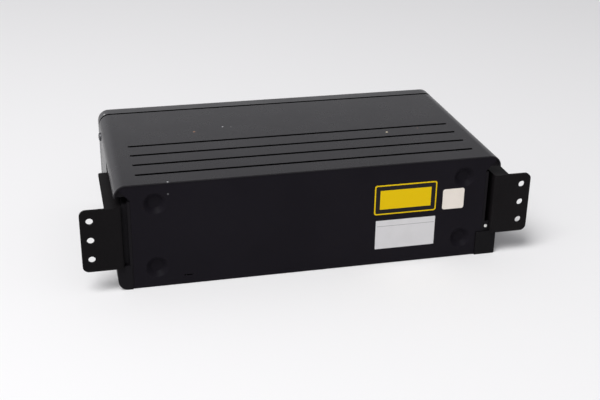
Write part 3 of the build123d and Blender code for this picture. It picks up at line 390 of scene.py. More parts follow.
@dataclass(frozen=True)
class Moulding:
    """Moulded plastic with a spark-eroded grain, slight flow marks and, where asked, painted seam shade."""

    name: str
    base: Colour
    rough: float = 0.55
    grain: float = 0.35 * MM
    depth: float = 0.02 * MM
    specular: float = 0.35
    chips: tuple[Chip, ...] = ()
    # y before which shade is painted, or None
    seam_shade_before_y: float | None = None
    flow_size: float = 25 * MM

    def material(self) -> bpy.types.Material:
        """Grain bumps and slightly darkens the surface and flow marks drift the roughness.

        What lies before the given y, the neck and the seam in front of it, is painted shade: near black and
        without gloss.

        Returns:
            The material.
        """
        g = Graph(self.name)
        fine = g.noise(self.grain, 2.0)
        flow = g.noise(self.flow_size, 3.0, (0.4, 1.0, 1.0))
        tone = g.tint(g.between(fine, 0.3, 0.7), scaled(self.base, 0.75), self.base)
        for chip in self.chips:
            tone = g.tint(g.spot(chip.place, chip.radius), tone, chip.colour)
        g.surface(specular=self.specular)
        # painted shade: near black and no gloss before the given y
        if self.seam_shade_before_y is not None:
            mask = g.math("LESS_THAN", g.axes()[1], self.seam_shade_before_y)
            tone = g.tint(mask, tone, scaled(self.base, 0.05))
            g.dull(self.specular, mask)
        g.colour(tone)
        g.roughness(g.between(flow, 0.3, 0.7, self.rough - 0.05, self.rough + 0.05))
        g.relief(fine, self.depth)
        return g.material


@dataclass(frozen=True)
class PlatedSheet:
    """Zinc plated steel: rolling lines along X, pale spangle and a few dull patches."""

    name: str
    base: Colour
    dull: Colour
    rough: float = 0.34
    metallic: float = 0.95
    stretch: Point = (0.06, 1.0, 1.0)
    line_size: float = 0.5 * MM
    spangle_size: float = 6 * MM

    def material(self) -> bpy.types.Material:
        """Rolling lines are stretched noise; spangle is cell noise that shifts colour and gloss.

        Returns:
            The material.
        """
        g = Graph(self.name)
        lines = g.noise(self.line_size, 2.0, self.stretch)
        cells = g.add("ShaderNodeTexVoronoi", feature="F1")
        g.link(g.place, cells.inputs["Vector"])
        cells.inputs["Scale"].default_value = 1.0 / self.spangle_size
        shade = g.add("ShaderNodeSeparateColor")
        g.link(cells.outputs["Color"], shade.inputs[0])
        mixed = g.math("ADD", g.math("MULTIPLY", lines, 0.6), g.math("MULTIPLY", shade.outputs[0], 0.4))
        g.colour(g.tint(g.between(mixed, 0.25, 0.75), self.dull, self.base))
        g.roughness(g.between(mixed, 0.2, 0.8, self.rough + 0.1, self.rough - 0.06))
        g.relief(lines, 0.01 * MM, 0.5)
        g.surface(metallic=self.metallic)
        return g.material


@dataclass(frozen=True)
class TurnedMetal:
    """Ground or drawn metal with a fine grain and a clean shine."""

    name: str
    base: Colour
    rough: float = 0.2
    grain: float = 0.15 * MM
    patch_size: float = 9 * MM

    def material(self) -> bpy.types.Material:
        """Fine noise varies gloss and colour a little.

        Returns:
            The material.
        """
        g = Graph(self.name)
        fine = g.noise(self.grain, 2.0, (1.0, 1.0, 0.2))
        patch = g.noise(self.patch_size, 2.0)
        g.colour(g.tint(g.between(patch, 0.3, 0.7), scaled(self.base, 0.85), self.base))
        g.roughness(g.between(fine, 0.3, 0.7, self.rough, self.rough + 0.12))
        g.relief(fine, 0.004 * MM, 0.4)
        g.surface(metallic=1.0)
        return g.material


@dataclass(frozen=True)
class CircuitBoard:
    """Green solder mask over copper tracks, with tinned pads."""

    name: str
    mask: Colour = (0.012, 0.095, 0.04)
    copper: Colour = (0.03, 0.2, 0.075)
    tin: Colour = (0.6, 0.6, 0.58)
    track_cell: float = 7 * MM
    pad_cell: float = 4 * MM

    def material(self) -> bpy.types.Material:
        """Tracks are the edges of stretched cells; pads are small round dots at cell centres.

        Returns:
            The material.
        """
        g = Graph(self.name)
        cells = g.add("ShaderNodeTexVoronoi", feature="DISTANCE_TO_EDGE")
        g.link(g.stretched((1.0, 2.2, 0.0)), cells.inputs["Vector"])
        cells.inputs["Scale"].default_value = 1.0 / self.track_cell
        track = g.between(cells.outputs["Distance"], 0.05, 0.08, 1.0, 0.0)
        dots = g.add("ShaderNodeTexVoronoi", feature="F1")
        g.link(g.stretched((1.0, 1.0, 0.0)), dots.inputs["Vector"])
        dots.inputs["Scale"].default_value = 1.0 / self.pad_cell
        dots.inputs["Randomness"].default_value = 0.35
        pad = g.between(dots.outputs["Distance"], 0.12, 0.15, 1.0, 0.0)
        g.colour(g.tint(pad, g.tint(track, self.mask, self.copper), self.tin))
        g.relief(track, 0.03 * MM)
        g.surface(specular=0.5, roughness=0.28)
        return g.material


@dataclass(frozen=True)
class CoatedGlass:
    """Coated glass with a blue sheen."""

    name: str
    deep: Colour = (0.02, 0.05, 0.12)
    sheen: Colour = (0.03, 0.09, 0.16)
    patch_size: float = 3 * MM

    def material(self) -> bpy.types.Material:
        """Dark blue gloss that drifts a little in hue.

        Returns:
            The material.
        """
        g = Graph(self.name)
        patch = g.noise(self.patch_size, 1.0)
        g.colour(g.tint(g.between(patch, 0.3, 0.7), self.deep, self.sheen))
        g.surface(specular=0.8, roughness=0.05)
        return g.material


@dataclass(frozen=True)
class Print:
    """One printed area of a sticker: a rounded rectangle and its ink."""

    x: Span
    z: Span
    radius: float
    ink: Colour


@dataclass(frozen=True)
class StickerStock:
    """Coated paper or foil with flat printed areas, slight yellowing and scuffs."""

    name: str
    paper: Colour
    prints: tuple[Print, ...] = ()
    rough: float = 0.42
    scuff: float = 0.10
    fibre_size: float = 0.9 * MM
    stain_size: float = 12 * MM

    def material(self) -> bpy.types.Material:
        """Prints are laid over the paper in order; fibres and scuffs vary tone and gloss.

        Returns:
            The material.
        """
        g = Graph(self.name)
        fibre = g.noise(self.fibre_size, 4.0)
        stain = g.noise(self.stain_size, 3.0)
        tone = g.tint(g.between(stain, 0.35, 0.75, 0.0, 0.5), self.paper, scaled(self.paper, 0.92))
        for area in self.prints:
            tone = g.tint(g.round_box(area.x, area.z, area.radius), tone, area.ink)
        tone = g.tint(g.between(fibre, 0.55, 0.8, 0.0, self.scuff), tone, scaled(self.paper, 0.6))
        g.colour(tone)
        g.roughness(g.between(stain, 0.3, 0.7, self.rough - 0.05, self.rough + 0.1))
        g.relief(fibre, 0.01 * MM, 0.5)
        g.surface(specular=0.08)
        return g.material


# ---------------------------------------------------------------- surfaces from arrays
def grid_quads(rows: int, cols: int, closed: bool) -> np.ndarray:
    """Quads of a grid.

    Args:
        rows: number of rows.
        cols: number of columns.
        closed: whether the last column joins the first.

    Returns:
        Corner numbers, array (quads, 4).
    """
    index = np.arange(rows * cols).reshape(rows, cols)
    if closed:
        index = np.hstack([index, index[:, :1]])
    return np.stack([index[:-1, :-1], index[:-1, 1:], index[1:, 1:], index[1:, :-1]], axis=-1).reshape(-1, 4)


def make_piece(name: str, grids: np.ndarray, finish: Finish, body: str) -> bpy.types.Object:
    """One object from equal grids of points, each closed along its rows.

    Args:
        name: object name.
        grids: array (pieces, rows, columns, 3).
        finish: what it is dressed in.
        body: the body that carries it.

    Returns:
        The new object, in the scene.
    """
    count, rows, cols, _ = grids.shape
    quads = grid_quads(rows, cols, True)
    shift = np.arange(count)[:, None, None] * rows * cols
    piece = mesh_object(name, grids.reshape(-1, 3), (quads[None] + shift).reshape(-1, 4))
    piece.data.materials.append(finish.material())
    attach(piece, body)
    log.info("built %s, %d faces", name, len(piece.data.polygons))
    return piece


def mesh_object(name: str, points: np.ndarray, faces: np.ndarray) -> bpy.types.Object:
    """Object from vertices and faces, doubles merged and normals pointing out.

    Args:
        name: object name.
        points: array (points, 3), in metres.
        faces: corner numbers, array (faces, 4).

    Returns:
        The new object, in the scene.
    """
    mesh = bpy.data.meshes.new(name)
    mesh.from_pydata(points.tolist(), [], faces.tolist())
    work = bmesh.new()
    work.from_mesh(mesh)
    bmesh.ops.remove_doubles(work, verts=work.verts, dist=MERGE)
    bmesh.ops.recalc_face_normals(work, faces=work.faces)
    work.to_mesh(mesh)
    work.free()
    piece = bpy.data.objects.new(name, mesh)
    bpy.context.scene.collection.objects.link(piece)
    return piece


def rounded_outline(half_x: float, half_z: float, radius: float, per_corner: int = 8) -> np.ndarray:
    """Points round a rectangle with round corners, anticlockwise.

    Each corner is c + r (cos t, sin t), t over a quarter turn.

    Args:
        half_x: half the width.
        half_z: half the height.
        radius: corner radius.
        per_corner: points in each corner.

    Returns:
        Array (points, 2).
    """
    turn = np.linspace(0, math.pi / 2, per_corner)
    angle = (turn[None, :] + np.arange(4)[:, None] * math.pi / 2).ravel()
    sign_x = np.repeat([1, -1, -1, 1], per_corner)
    sign_z = np.repeat([1, 1, -1, -1], per_corner)
    x = sign_x * (half_x - radius) + radius * np.cos(angle)
    z = sign_z * (half_z - radius) + radius * np.sin(angle)
    return np.column_stack([x, z])


class Facing(Enum):
    """Which way a flat or round piece looks: its right, up and outward directions as rows."""

    LEFT = ((0, -1, 0), (0, 0, 1), (-1, 0, 0))
    RIGHT = ((0, 1, 0), (0, 0, 1), (1, 0, 0))
    REAR = ((1, 0, 0), (0, 0, 1), (0, -1, 0))
    FRONT = ((-1, 0, 0), (0, 0, 1), (0, 1, 0))

    def carry(self, points: np.ndarray, place: Point) -> np.ndarray:
        """Points given as (right, up, out) moved to a place in the row frame."""
        return points @ np.array(self.value, dtype=float) + np.array(place)


# ---------------------------------------------------------------- screws
@dataclass(frozen=True)
class Screw:
    """Pan head screw with a cross recess and a rolled thread."""

    head_r: float = 3.6 * MM
    head_h: float = 2.0 * MM
    shank_r: float = 1.9 * MM
    length: float = 7.0 * MM
    pitch: float = 0.8 * MM
    thread_depth: float = 0.16 * MM
    cross_reach: float = 2.0 * MM
    cross_half: float = 0.42 * MM
    cross_depth: float = 1.1 * MM
    cross_wall: float = 0.18 * MM
    cross_ramp: float = 0.7 * MM
    tip: float = 0.4 * MM
    tip_share: float = 0.7
    columns: int = 72
    thread_rows: int = 44
    dome_rows: int = 26

    def shank(self, turn: np.ndarray) -> tuple[np.ndarray, np.ndarray]:
        """Radius and height of the thread.

        The radius is the shank's, less a triangle wave of (height / pitch - turn), so that the crests
        wind round as a helix. The first row closes the tip.

        Args:
            turn: angles of the columns, array (1, columns).

        Returns:
            Radius and height, arrays (rows, columns).
        """
        height = np.linspace(-self.length + self.tip, -0.05 * MM, self.thread_rows)[:, None] + 0 * turn
        wave = np.abs(2 * np.mod(height / self.pitch - turn / (2 * math.pi), 1) - 1)
        radius = self.shank_r - self.thread_depth * wave
        tip_r = np.vstack([0 * turn, 0 * turn + self.shank_r * self.tip_share])
        tip_h = np.zeros_like(tip_r) - self.length
        return np.vstack([tip_r, radius]), np.vstack([tip_h, height])

    def head(self, turn: np.ndarray) -> tuple[np.ndarray, np.ndarray]:
        """Radius and height of the head.

        The flat underside runs out to a short upright rim, then the dome falls as an ellipse. Inside
        the two crossed bars the height drops by the recess depth, with sloping walls.

        Args:
            turn: angles of the columns, array (1, columns).

        Returns:
            Radius and height, arrays (rows, columns).
        """
        out = np.array([self.shank_r, self.head_r, self.head_r])[:, None] + 0 * turn
        flat = np.array([0.0, 0.0, 0.5 * self.head_h])[:, None] + 0 * turn
        share = np.linspace(1.0, 0.0, self.dome_rows)[1:, None] + 0 * turn
        radius = share * self.head_r
        height = self.head_h * (0.5 + 0.5 * np.sqrt(1 - share**2))
        x, y = np.abs(radius * np.cos(turn)), np.abs(radius * np.sin(turn))
        bar = np.clip((self.cross_half - np.minimum(x, y)) / self.cross_wall, 0, 1)
        end = np.clip((self.cross_reach - np.maximum(x, y)) / self.cross_ramp, 0, 1)
        height = height - self.cross_depth * bar * end
        return np.vstack([out, radius]), np.vstack([flat, height])

    def grid(self, place: Point, facing: Facing) -> np.ndarray:
        """The whole screw, S(u, v) = (r(u, v) cos v, r(u, v) sin v, h(u, v)).

        Args:
            place: middle of the head's underside.
            facing: the way the head looks.

        Returns:
            Array (rows, columns, 3).
        """
        turn = np.linspace(0, 2 * math.pi, self.columns, endpoint=False)[None, :]
        parts = [self.shank(turn), self.head(turn)]
        radius = np.vstack([part[0] for part in parts])
        height = np.vstack([part[1] for part in parts])
        points = np.stack([radius * np.cos(turn), radius * np.sin(turn), height], axis=-1)
        return facing.carry(points, place)


@dataclass(frozen=True)
class ScrewSets:
    """The screws of the brackets' webs and of the cover, and the small one in the right hand slot."""

    screw: Screw = Screw()
    small: Screw = Screw(
        head_r=1.5 * MM, head_h=1.0 * MM, shank_r=1.0 * MM, length=4.0 * MM,
        pitch=0.5 * MM, thread_depth=0.1 * MM, cross_reach=0.9 * MM,
        cross_half=0.25 * MM, cross_depth=0.5 * MM)
    slot_place: Point = (146.85 * MM, -85.0 * MM, 25.5 * MM)

    def sides(self, node: str) -> tuple[float, Span, Span]:
        """Where a node's screws sit, from its box.

        Args:
            node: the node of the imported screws.

        Returns:
            Seat of the heads on the right, then the outermost head centres in Y and in Z.
        """
        low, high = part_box(node)
        r = self.screw.head_r
        return high[0] - self.screw.head_h, (low[1] + r, high[1] - r), (low[2] + r, high[2] - r)

    def both_sides(self, name: str, node: str, places: list[Span], seat: float) -> None:
        """Screws on the right side and their mirror images on the left, standing for a node.

        Args:
            name: object name.
            node: the node that they replace.
            places: head centres as (y, z).
            seat: distance of the heads' undersides from the middle plane.
        """
        grids = [self.screw.grid((seat, y, z), Facing.RIGHT) for y, z in places]
        grids += [self.screw.grid((-seat, y, z), Facing.LEFT) for y, z in places]
        piece = make_piece(name, np.array(grids), SCREW_STEEL, "casing")
        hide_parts(node)

    def build(self) -> None:
        """Make all three sets."""
        seat, y, z = self.sides("bracket_screws")
        on_web = [(y[0], z[0]), (y[0], z[1]), (y[1], sum(z) / 2)]
        self.both_sides("web_screws", "bracket_screws", on_web, seat)
        seat, y, z = self.sides("cover_screws")
        self.both_sides("side_screws", "cover_screws", [(y[0], z[0]), (y[0], z[1])], seat)
        grid = self.small.grid(self.slot_place, Facing.REAR)
        make_piece("slot_screw", grid[None], BRIGHT_ZINC, "casing")


# ---------------------------------------------------------------- stickers
@dataclass(frozen=True)
class Sticker:
    """Rounded sheet on the rear plate, its edge turned down on the paint."""

    name: str
    x: Span
    z: Span
    radius: float
    stock: StickerStock
    face_y: float = -85.6 * MM
    thickness: float = 0.12 * MM
    bevel: float = 0.1 * MM

    def build(self) -> None:
        """Rings from the middle out: S(u, v) = centre + s(u) outline(v), stepping down at the edge."""
        half_x = (self.x[1] - self.x[0]) / 2
        half_z = (self.z[1] - self.z[0]) / 2
        rim = rounded_outline(half_x, half_z, self.radius)
        size = np.array([0.0, 0.5, 0.9, 1.0 - self.bevel / half_x, 1.0, 0.0])
        lift = np.array([1.0, 1.0, 1.0, 1.0, 0.0, 0.0]) * self.thickness
        rings = rim[None, :, :] * size[:, None, None]
        points = np.dstack([rings, np.repeat(lift[:, None], len(rim), axis=1)])
        middle = (sum(self.x) / 2, self.face_y, sum(self.z) / 2)
        make_piece(self.name, Facing.REAR.carry(points, middle)[None], self.stock, "casing")


@dataclass(frozen=True)
class RearStickers:
    """The three stickers of the rear plate, printed with plain areas only."""

    foil_x: Span = (49.3 * MM, 101.5 * MM)
    foil_z: Span = (44.3 * MM, 70.1 * MM)
    paper_x: Span = (51.3 * MM, 101.7 * MM)
    paper_z: Span = (13.8 * MM, 39.1 * MM)
    rule_z: float = 34.0 * MM
    cream_x: Span = (107.0 * MM, 125.4 * MM)
    cream_z: Span = (44.1 * MM, 61.9 * MM)
    yellow: Colour = (0.80, 0.54, 0.002)
    black: Colour = (0.013, 0.012, 0.014)
    white: Colour = (0.69, 0.68, 0.69)
    cream: Colour = (0.86, 0.79, 0.715)
    grey: Colour = (0.24, 0.235, 0.24)
    border: float = 1.05 * MM
    band: float = 4.7 * MM
    margin: float = 1.0 * MM
    rule_half: float = 0.15 * MM

    def inset(self, by: float, radius: float, ink: Colour) -> Print:
        """Area of the yellow foil, moved in from its edge.

        Args:
            by: how far.
            radius: corner radius.
            ink: its colour.

        Returns:
            The printed area.
        """
        x, z = self.foil_x, self.foil_z
        return Print((x[0] + by, x[1] - by), (z[0] + by, z[1] - by), radius, ink)

    def build(self) -> None:
        """Yellow foil with a dark band, white paper with one rule, cream paper."""
        bands = (self.inset(self.border, 1.3 * MM, self.black),
                 self.inset(self.band, 0.3 * MM, self.yellow))
        foil = StickerStock("yellow_foil", self.yellow, bands, 0.35, 0.04)
        rule = Print((self.paper_x[0] + self.margin, self.paper_x[1] - self.margin),
                     (self.rule_z - self.rule_half, self.rule_z + self.rule_half), 0.1 * MM, self.grey)
        paper = StickerStock("white_paper", self.white, (rule,))
        cream = StickerStock("cream_paper", self.cream)
        Sticker("yellow_sticker", self.foil_x, self.foil_z, 2.0 * MM, foil).build()
        Sticker("white_sticker", self.paper_x, self.paper_z, 0.4 * MM, paper).build()
        Sticker("cream_sticker", self.cream_x, self.cream_z, 1.8 * MM, cream).build()


# ---------------------------------------------------------------- front details
@dataclass(frozen=True)
class FrontMarks:
    """Generic eject sign on the button: a triangle over a bar, in raised white ink."""

    width: float = 5.0 * MM
    height: float = 3.2 * MM
    bar: float = 0.9 * MM
    gap: float = 0.8 * MM
    ink: float = 0.06 * MM

    def build(self) -> None:
        """Both shapes are rings: outline(v) scaled from 0 to 1, then stepped down to the button."""
        low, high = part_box("eject_button")
        centre = ((low[0] + high[0]) / 2, high[1], (low[2] + high[2]) / 2)
        half = self.width / 2
        triangle = np.array([[-half, 0], [half, 0], [0, self.height], [-half / 2, self.height / 2]])
        base = -self.gap
        bar = np.array([[-half, base - self.bar], [half, base - self.bar], [half, base], [-half, base]])
        grids = []
        for shape in (triangle, bar):
            middle = shape[:3].mean(axis=0)
            size = np.array([0.0, 1.0, 1.0])[:, None, None]
            ring = middle + size * (shape - middle)[None]
            lift = np.array([self.ink, self.ink, -self.ink])[:, None] * np.ones((1, len(shape)))
            grids.append(Facing.FRONT.carry(np.dstack([ring, lift]), centre))
        make_piece("eject_sign", np.array(grids), WHITE_INK, "button")


# ---------------------------------------------------------------- board parts
@dataclass(frozen=True)
class BoardParts:
    """Leads of the packages and rows of small parts on the main board."""

    packages: tuple[tuple[float, float, float, float], ...] = (
        (30, -24, 18, 18), (70, -16, 14, 14), (100, -26, 20, 8), (44, 24, 24, 10))
    lead_pitch: float = 1.27 * MM
    lead_w: float = 0.45 * MM
    lead_t: float = 0.15 * MM
    lead_out: float = 1.5 * MM
    lead_h: float = 1.1 * MM
    shoulder: float = 0.35 * MM
    knee: float = 0.7 * MM
    row_margin: float = 1.5 * MM
    small_rows: tuple[tuple[float, float, int], ...] = (
        (18, 2, 9), (60, 4, 12), (96, -8, 10), (74, -42, 14), (20, -40, 10), (66, 36, 8))
    small_pitch: float = 3.4 * MM
    small_size: Point = (2.0 * MM, 1.25 * MM, 0.6 * MM)

    def lead(self) -> np.ndarray:
        """One bent lead: a flat profile from the package, down and out to its foot, swept over its width.

        Returns:
            Array (4, points, 3) with collapsed rows for the two flat ends.
        """
        path = np.array([[0.0, self.lead_h], [self.shoulder, self.lead_h], [self.knee, self.lead_t],
                         [self.lead_out, self.lead_t]])
        lower = path - np.array([0.0, self.lead_t])
        loop = np.vstack([path, lower[::-1]])
        side = np.array([-self.lead_w / 2, self.lead_w / 2])
        points = np.zeros((2, len(loop), 3))
        points[..., 0] = loop[None, :, 0]
        points[..., 1] = side[:, None]
        points[..., 2] = loop[None, :, 1]
        caps = points.mean(axis=1, keepdims=True) + 0 * points
        return np.concatenate([caps[:1], points, caps[1:]])

    def leads(self, top: float) -> np.ndarray:
        """Leads along both sides of each package.

        Args:
            top: height of the board's upper face.

        Returns:
            Array (leads, rows, points, 3).
        """
        shape = self.lead()
        grids = []
        for x, y, width, depth in self.packages:
            count = int((depth * MM - self.row_margin) / self.lead_pitch)
            rows = (np.arange(count) - (count - 1) / 2) * self.lead_pitch
            for side in (-1, 1):
                turned = shape * np.array([side, 1, 1])
                places = np.zeros((count, 1, 1, 3))
                places[:, 0, 0, 0] = x * MM + side * (width / 2 - 0.05) * MM
                places[:, 0, 0, 1] = y * MM + rows
                places[:, 0, 0, 2] = top
                grids.append(turned[None] + places)
        return np.concatenate(grids)

    def small(self, top: float) -> np.ndarray:
        """Rows of chip parts: rounded outlines stacked into a block with a bevelled top.

        Args:
            top: height of the board's upper face.

        Returns:
            Array (parts, rows, points, 3).
        """
        sx, sy, sz = self.small_size
        rim = rounded_outline(sx / 2, sy / 2, 0.12 * MM, 2)
        size = np.array([0.0, 1.0, 1.0, 0.92, 0.0])
        level = np.array([0.0, 0.0, 0.8, 1.0, 1.0]) * sz
        ring = rim[None] * size[:, None, None]
        block = np.dstack([ring, np.repeat(level[:, None], len(rim), axis=1)])
        grids = []
        for x, y, count in self.small_rows:
            places = np.zeros((count, 1, 1, 3))
            places[:, 0, 0, 0] = x * MM + np.arange(count) * self.small_pitch
            places[:, 0, 0, 1] = y * MM
            places[:, 0, 0, 2] = top
            grids.append(block[None] + places)
        return np.concatenate(grids)

    def build(self) -> None:
        """Seat both sets on the board's upper face."""
        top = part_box("main_board")[1][2]
        make_piece("package_leads", self.leads(top), TIN, "casing")
        make_piece("small_parts", self.small(top), CERAMIC, "casing")


# ---------------------------------------------------------------- studio
@dataclass(frozen=True)
class FloorPaper:
    """Pale studio paper; camera, gloss and glass rays see it a little lighter than it is lit."""

    name: str = "studio_floor"
    colour: Colour = (0.87, 0.865, 0.87)
    lift: float = 0.05

    def material(self) -> bpy.types.Material:
        """Matt paper plus a faint glow for camera, gloss and glass rays alone.

        Returns:
            The material.
        """
        g = Graph(self.name)
        g.shader.inputs["Base Color"].default_value = (*self.colour, 1.0)
        g.surface(specular=0.05, roughness=0.9)
        rays = g.add("ShaderNodeLightPath")
        seen = g.math("MAXIMUM", rays.outputs["Is Camera Ray"], rays.outputs["Is Glossy Ray"])
        seen = g.math("MAXIMUM", seen, rays.outputs["Is Transmission Ray"])
        g.shader.inputs["Emission Color"].default_value = (*self.colour, 1.0)
        g.link(g.math("MULTIPLY", seen, self.lift), g.shader.inputs["Emission Strength"])
        return g.material


@dataclass(frozen=True)
class Lamp:
    """Square soft box at a place, turned to a point."""

    name: str
    place: Point
    aim: Point
    size: float
    power: float

    def build(self) -> None:
        """Make the light and turn it."""
        light = bpy.data.lights.new(self.name, "AREA")
        light.size = self.size
        light.energy = self.power
        box = bpy.data.objects.new(self.name, light)
        away = Vector(self.place) - Vector(self.aim)
        box.matrix_world = Matrix.Translation(self.place) @ away.to_track_quat("Z", "Y").to_matrix().to_4x4()
        bpy.context.scene.collection.objects.link(box)


@dataclass(frozen=True)
class Studio:
    """Pale floor, soft light and the photograph's camera."""

    floor_size: float = 14.0
    floor_rows: int = 9
    sky: Colour = (0.97, 0.97, 1.0)
    sky_light: float = 0.34
    sky_seen: float = 1.24
    sky_fall: Point = (-0.4, 0.0, -1.44)
    sky_limits: Span = (0.25, 0.95)
    lamps: tuple[Lamp, ...] = (
        Lamp("key_light", (-1.15, -1.15, 2.6), (0.0, 0.0, 0.0), 1.6, 79.0),
    )
    camera_place: Point = (-192.26 * MM, -811.21 * MM, 404.12 * MM)
    yaw: float = 0.2438
    pitch: float = 0.4272
    roll: float = 0.0156
    focal_px: float = 1053.98
    picture_px: float = 600.0
    sensor: float = 36.0

    def build(self) -> None:
        """Make the floor, the world, the lamps and the camera."""
        self.floor()
        self.world()
        for lamp in self.lamps:
            lamp.build()
        self.camera()

    def floor(self) -> None:
        """Wide pale sheet, S(u, v) = (u, v, 0)."""
        span = np.linspace(-self.floor_size / 2, self.floor_size / 2, self.floor_rows)
        u, v = np.meshgrid(span, span, indexing="ij")
        points = np.stack([u, v, np.zeros_like(u)], axis=-1)
        quads = grid_quads(self.floor_rows, self.floor_rows, False)
        sheet = mesh_object("studio_floor", points.reshape(-1, 3), quads)
        sheet.data.materials.append(FloorPaper().material())

    def world(self) -> None:
        """Even pale surround for the light; camera, gloss and glass see pale walls under a darker ceiling.

        What they see is sky_seen plus the fall along each axis times the direction, within limits.
        """
        world = bpy.data.worlds.new("studio")
        world.use_nodes = True
        nodes, links = world.node_tree.nodes, world.node_tree.links
        background = nodes["Background"]
        background.inputs["Color"].default_value = (*self.sky, 1.0)
        rays = nodes.new("ShaderNodeLightPath")
        seen = rays.outputs["Is Camera Ray"]
        for kind in ("Is Glossy Ray", "Is Transmission Ray"):
            either = nodes.new("ShaderNodeMath")
            either.operation = "MAXIMUM"
            links.new(seen, either.inputs[0])
            links.new(rays.outputs[kind], either.inputs[1])
            seen = either.outputs[0]
        fall = nodes.new("ShaderNodeVectorMath")
        fall.operation = "DOT_PRODUCT"
        links.new(nodes.new("ShaderNodeTexCoord").outputs["Generated"], fall.inputs[0])
        fall.inputs[1].default_value = self.sky_fall
        wall = nodes.new("ShaderNodeMath")
        wall.operation = "ADD"
        links.new(fall.outputs["Value"], wall.inputs[0])
        wall.inputs[1].default_value = self.sky_seen
        limit = nodes.new("ShaderNodeClamp")
        links.new(wall.outputs[0], limit.inputs["Value"])
        limit.inputs["Min"].default_value, limit.inputs["Max"].default_value = self.sky_limits
        level = nodes.new("ShaderNodeMix")
        links.new(seen, level.inputs[0])
        level.inputs[2].default_value = self.sky_light
        links.new(limit.outputs[0], level.inputs[3])
        links.new(level.outputs[0], background.inputs["Strength"])
        bpy.context.scene.world = world

    def camera(self) -> None:
        """Camera from its yaw, pitch and roll.

        forward = (sin y cos p, cos y cos p, -sin p), right = (cos y, -sin y, 0), up = right x forward,
        then right and up are turned by the roll.
        """
        cy, sy = math.cos(self.yaw), math.sin(self.yaw)
        cp, sp = math.cos(self.pitch), math.sin(self.pitch)
        forward = np.array([sy * cp, cy * cp, -sp])
        right = np.array([cy, -sy, 0.0])
        up = np.cross(right, forward)
        cr, sr = math.cos(self.roll), math.sin(self.roll)
        right, up = cr * right + sr * up, -sr * right + cr * up
        data = bpy.data.cameras.new("camera")
        data.sensor_width = self.sensor
        data.lens = self.focal_px / self.picture_px * self.sensor
        eye = bpy.data.objects.new("camera", data)
        matrix = np.eye(4)
        matrix[:3, 0], matrix[:3, 1], matrix[:3, 2] = right, up, -forward
        matrix[:3, 3] = self.camera_place
        eye.matrix_world = Matrix(matrix.tolist())
        bpy.context.scene.collection.objects.link(eye)
        bpy.context.scene.camera = eye


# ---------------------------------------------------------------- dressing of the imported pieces
COVER_TOP = 88.0 * MM


def cover_mark(x: float, y: float, radius: float, colour: Colour) -> Chip:
    """A mark on the cover's top, in millimetres."""
    return Chip((x * MM, y * MM, COVER_TOP), radius * MM, colour)


# the cover's grooves get painted shade
COVER_PAINT = GrainPaint(
    "cover_paint", (0.0150, 0.0138, 0.0165), (0.0185, 0.0172, 0.0200), rough=0.28, specular=0.14, mottle=0.15,
    groove_shade=GrooveShade(), chips=(
        cover_mark(79.9, -17.4, 1.1, (0.80, 0.70, 0.52)),
        cover_mark(-79.3, 15.5, 1.2, (0.30, 0.15, 0.09)),
        cover_mark(-53.9, 22.5, 0.8, (0.55, 0.55, 0.57)),
        cover_mark(-46.8, 21.2, 0.5, (0.30, 0.30, 0.31)),
        cover_mark(108.8, -13.4, 0.8, (0.20, 0.11, 0.09)),
        cover_mark(-114.0, -85.2, 0.9, (0.45, 0.45, 0.46)),
    ))
REAR_MARK = Chip((-114.2 * MM, -85.6 * MM, 78.2 * MM), 0.9 * MM, (0.09, 0.09, 0.095))
REAR_PAINT = GrainPaint("rear_paint", (0.0086, 0.0074, 0.0104), (0.0102, 0.0088, 0.0122), grain=0.4 * MM,
                        depth=0.008 * MM, specular=0.045, chips=(REAR_MARK,))
BRACKET_PAINT = GrainPaint("bracket_paint", (0.0064, 0.0056, 0.0062), (0.0094, 0.0083, 0.0090),
                           grain=0.8 * MM, depth=0.04 * MM, specular=0.05, mottle=0.35)
FRAME_PLASTIC = Moulding("frame_plastic", (0.0092, 0.0082, 0.0100), 0.55, specular=0.07)
CAP_PLASTIC = Moulding("cap_plastic", (0.0085, 0.0078, 0.0088), 0.6, specular=0.06)
BEZEL_MARK = Chip((-149.5 * MM, 75.5 * MM, 86.5 * MM), 1.3 * MM, (0.4, 0.4, 0.4))
# the bezel's neck, its seam and a narrow strip of its top beside the seam get painted shade
BEZEL_PLASTIC = Moulding("bezel_plastic", (0.030, 0.029, 0.032), 0.35, specular=0.4, chips=(BEZEL_MARK,),
                         seam_shade_before_y=73.85 * MM)
BLACK_PLASTIC = Moulding("black_plastic", (0.02, 0.02, 0.021), 0.45)
MAGAZINE_PLASTIC = Moulding("magazine_plastic", (0.024, 0.024, 0.026), 0.5, 0.5 * MM, 0.03 * MM)
TRAY_PLASTIC = Moulding("tray_plastic", (0.045, 0.045, 0.048), 0.4)
WHITE_PLASTIC = Moulding("gear_plastic", (0.72, 0.70, 0.64), 0.42, depth=0.008 * MM, specular=0.4)
WHITE_INK = Moulding("white_ink", (0.75, 0.75, 0.74), 0.6, depth=0.004 * MM)
CERAMIC = Moulding("ceramic", (0.10, 0.075, 0.055), 0.5, depth=0.004 * MM)
RUBBER = Moulding("damper_rubber", (0.018, 0.018, 0.018), 0.85, specular=0.15)
ZINC = PlatedSheet("zinc_sheet", (0.62, 0.61, 0.58), (0.42, 0.41, 0.39))
MOTOR_CAN = PlatedSheet("motor_can", (0.6, 0.6, 0.6), (0.45, 0.45, 0.45), 0.28)
SCREW_STEEL = PlatedSheet("screw_steel", (0.2, 0.2, 0.21), (0.1, 0.1, 0.105), 0.4)
BRIGHT_ZINC = PlatedSheet("bright_zinc", (0.92, 0.92, 0.90), (0.75, 0.75, 0.72), 0.25)
ROD_STEEL = TurnedMetal("rod_steel", (0.72, 0.72, 0.73), 0.12)
BRASS = TurnedMetal("brass", (0.74, 0.55, 0.24), 0.25)
TIN = TurnedMetal("tin", (0.72, 0.72, 0.70), 0.3)
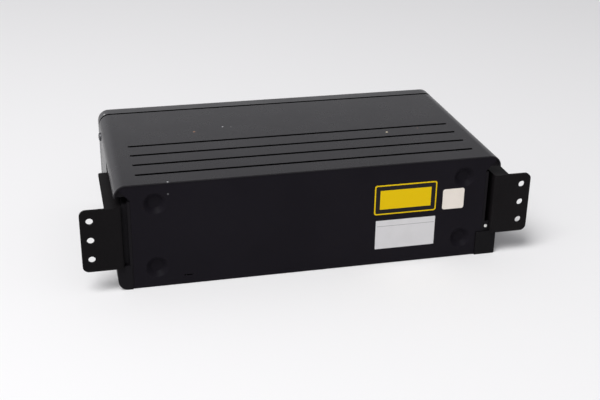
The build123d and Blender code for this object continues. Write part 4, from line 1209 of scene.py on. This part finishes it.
BOARD = CircuitBoard("board_green")
LENS_GLASS = CoatedGlass("lens_glass")

DRESS: dict[Finish, tuple[str, ...]] = {
    COVER_PAINT: ("top_cover",),
    REAR_PAINT: ("rear_plate",),
    BRACKET_PAINT: ("left_mounting_bracket", "right_mounting_bracket"),
    FRAME_PLASTIC: ("left_side_frame", "right_side_frame"),
    CAP_PLASTIC: ("corner_cap",),
    BEZEL_PLASTIC: ("front_bezel",),
    BLACK_PLASTIC: ("bus_socket", "board_posts", "eject_switch", "magazine_rails", "board_components",
                    "eject_button", "rod_clips", "turntable", "pickup_sled", "lens_holder"),
    MAGAZINE_PLASTIC: ("magazine_case", "magazine_lid", "magazine_face"),
    TRAY_PLASTIC: tuple(f"disc_tray_{n:02d}" for n in range(1, 11)),
    WHITE_PLASTIC: ("lift_gear", "tray_puller", "clamp_puck", "sled_gear"),
    RUBBER: ("rear_dampers", "front_dampers"),
    ZINC: ("bottom_plate", "mechanism_chassis", "rod_bridge", "board_shelf", "lift_cam", "lift_deck",
           "clamp_arm", "traverse_plate"),
    MOTOR_CAN: ("lift_motor", "spindle_motor", "sled_motor"),
    SCREW_STEEL: ("bracket_screws", "cover_screws"),
    ROD_STEEL: ("guide_rods", "hinge_pin", "sled_rods", "sled_gear_axle"),
    BRASS: ("socket_contacts", "lift_motor_pinion", "sled_motor_pinion"),
    BOARD: ("control_board", "main_board"),
    LENS_GLASS: ("lens",),
}


def dress_nodes() -> None:
    """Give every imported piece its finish."""
    for finish, names in DRESS.items():
        material = finish.material()
        for name in names:
            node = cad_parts[name]
            node.data.materials.clear()
            node.data.materials.append(material)
        log.info("%s on %d pieces", finish.name, len(names))


def main() -> None:
    """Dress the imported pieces, add the loose details and set the studio."""
    logging.basicConfig(level=logging.INFO)
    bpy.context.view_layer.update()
    dress_nodes()
    for part in (ScrewSets(), RearStickers(), FrontMarks(), BoardParts(), Studio()):
        part.build()
    bpy.context.scene.view_settings.view_transform = "Standard"


if __name__ == "__main__":
    main()
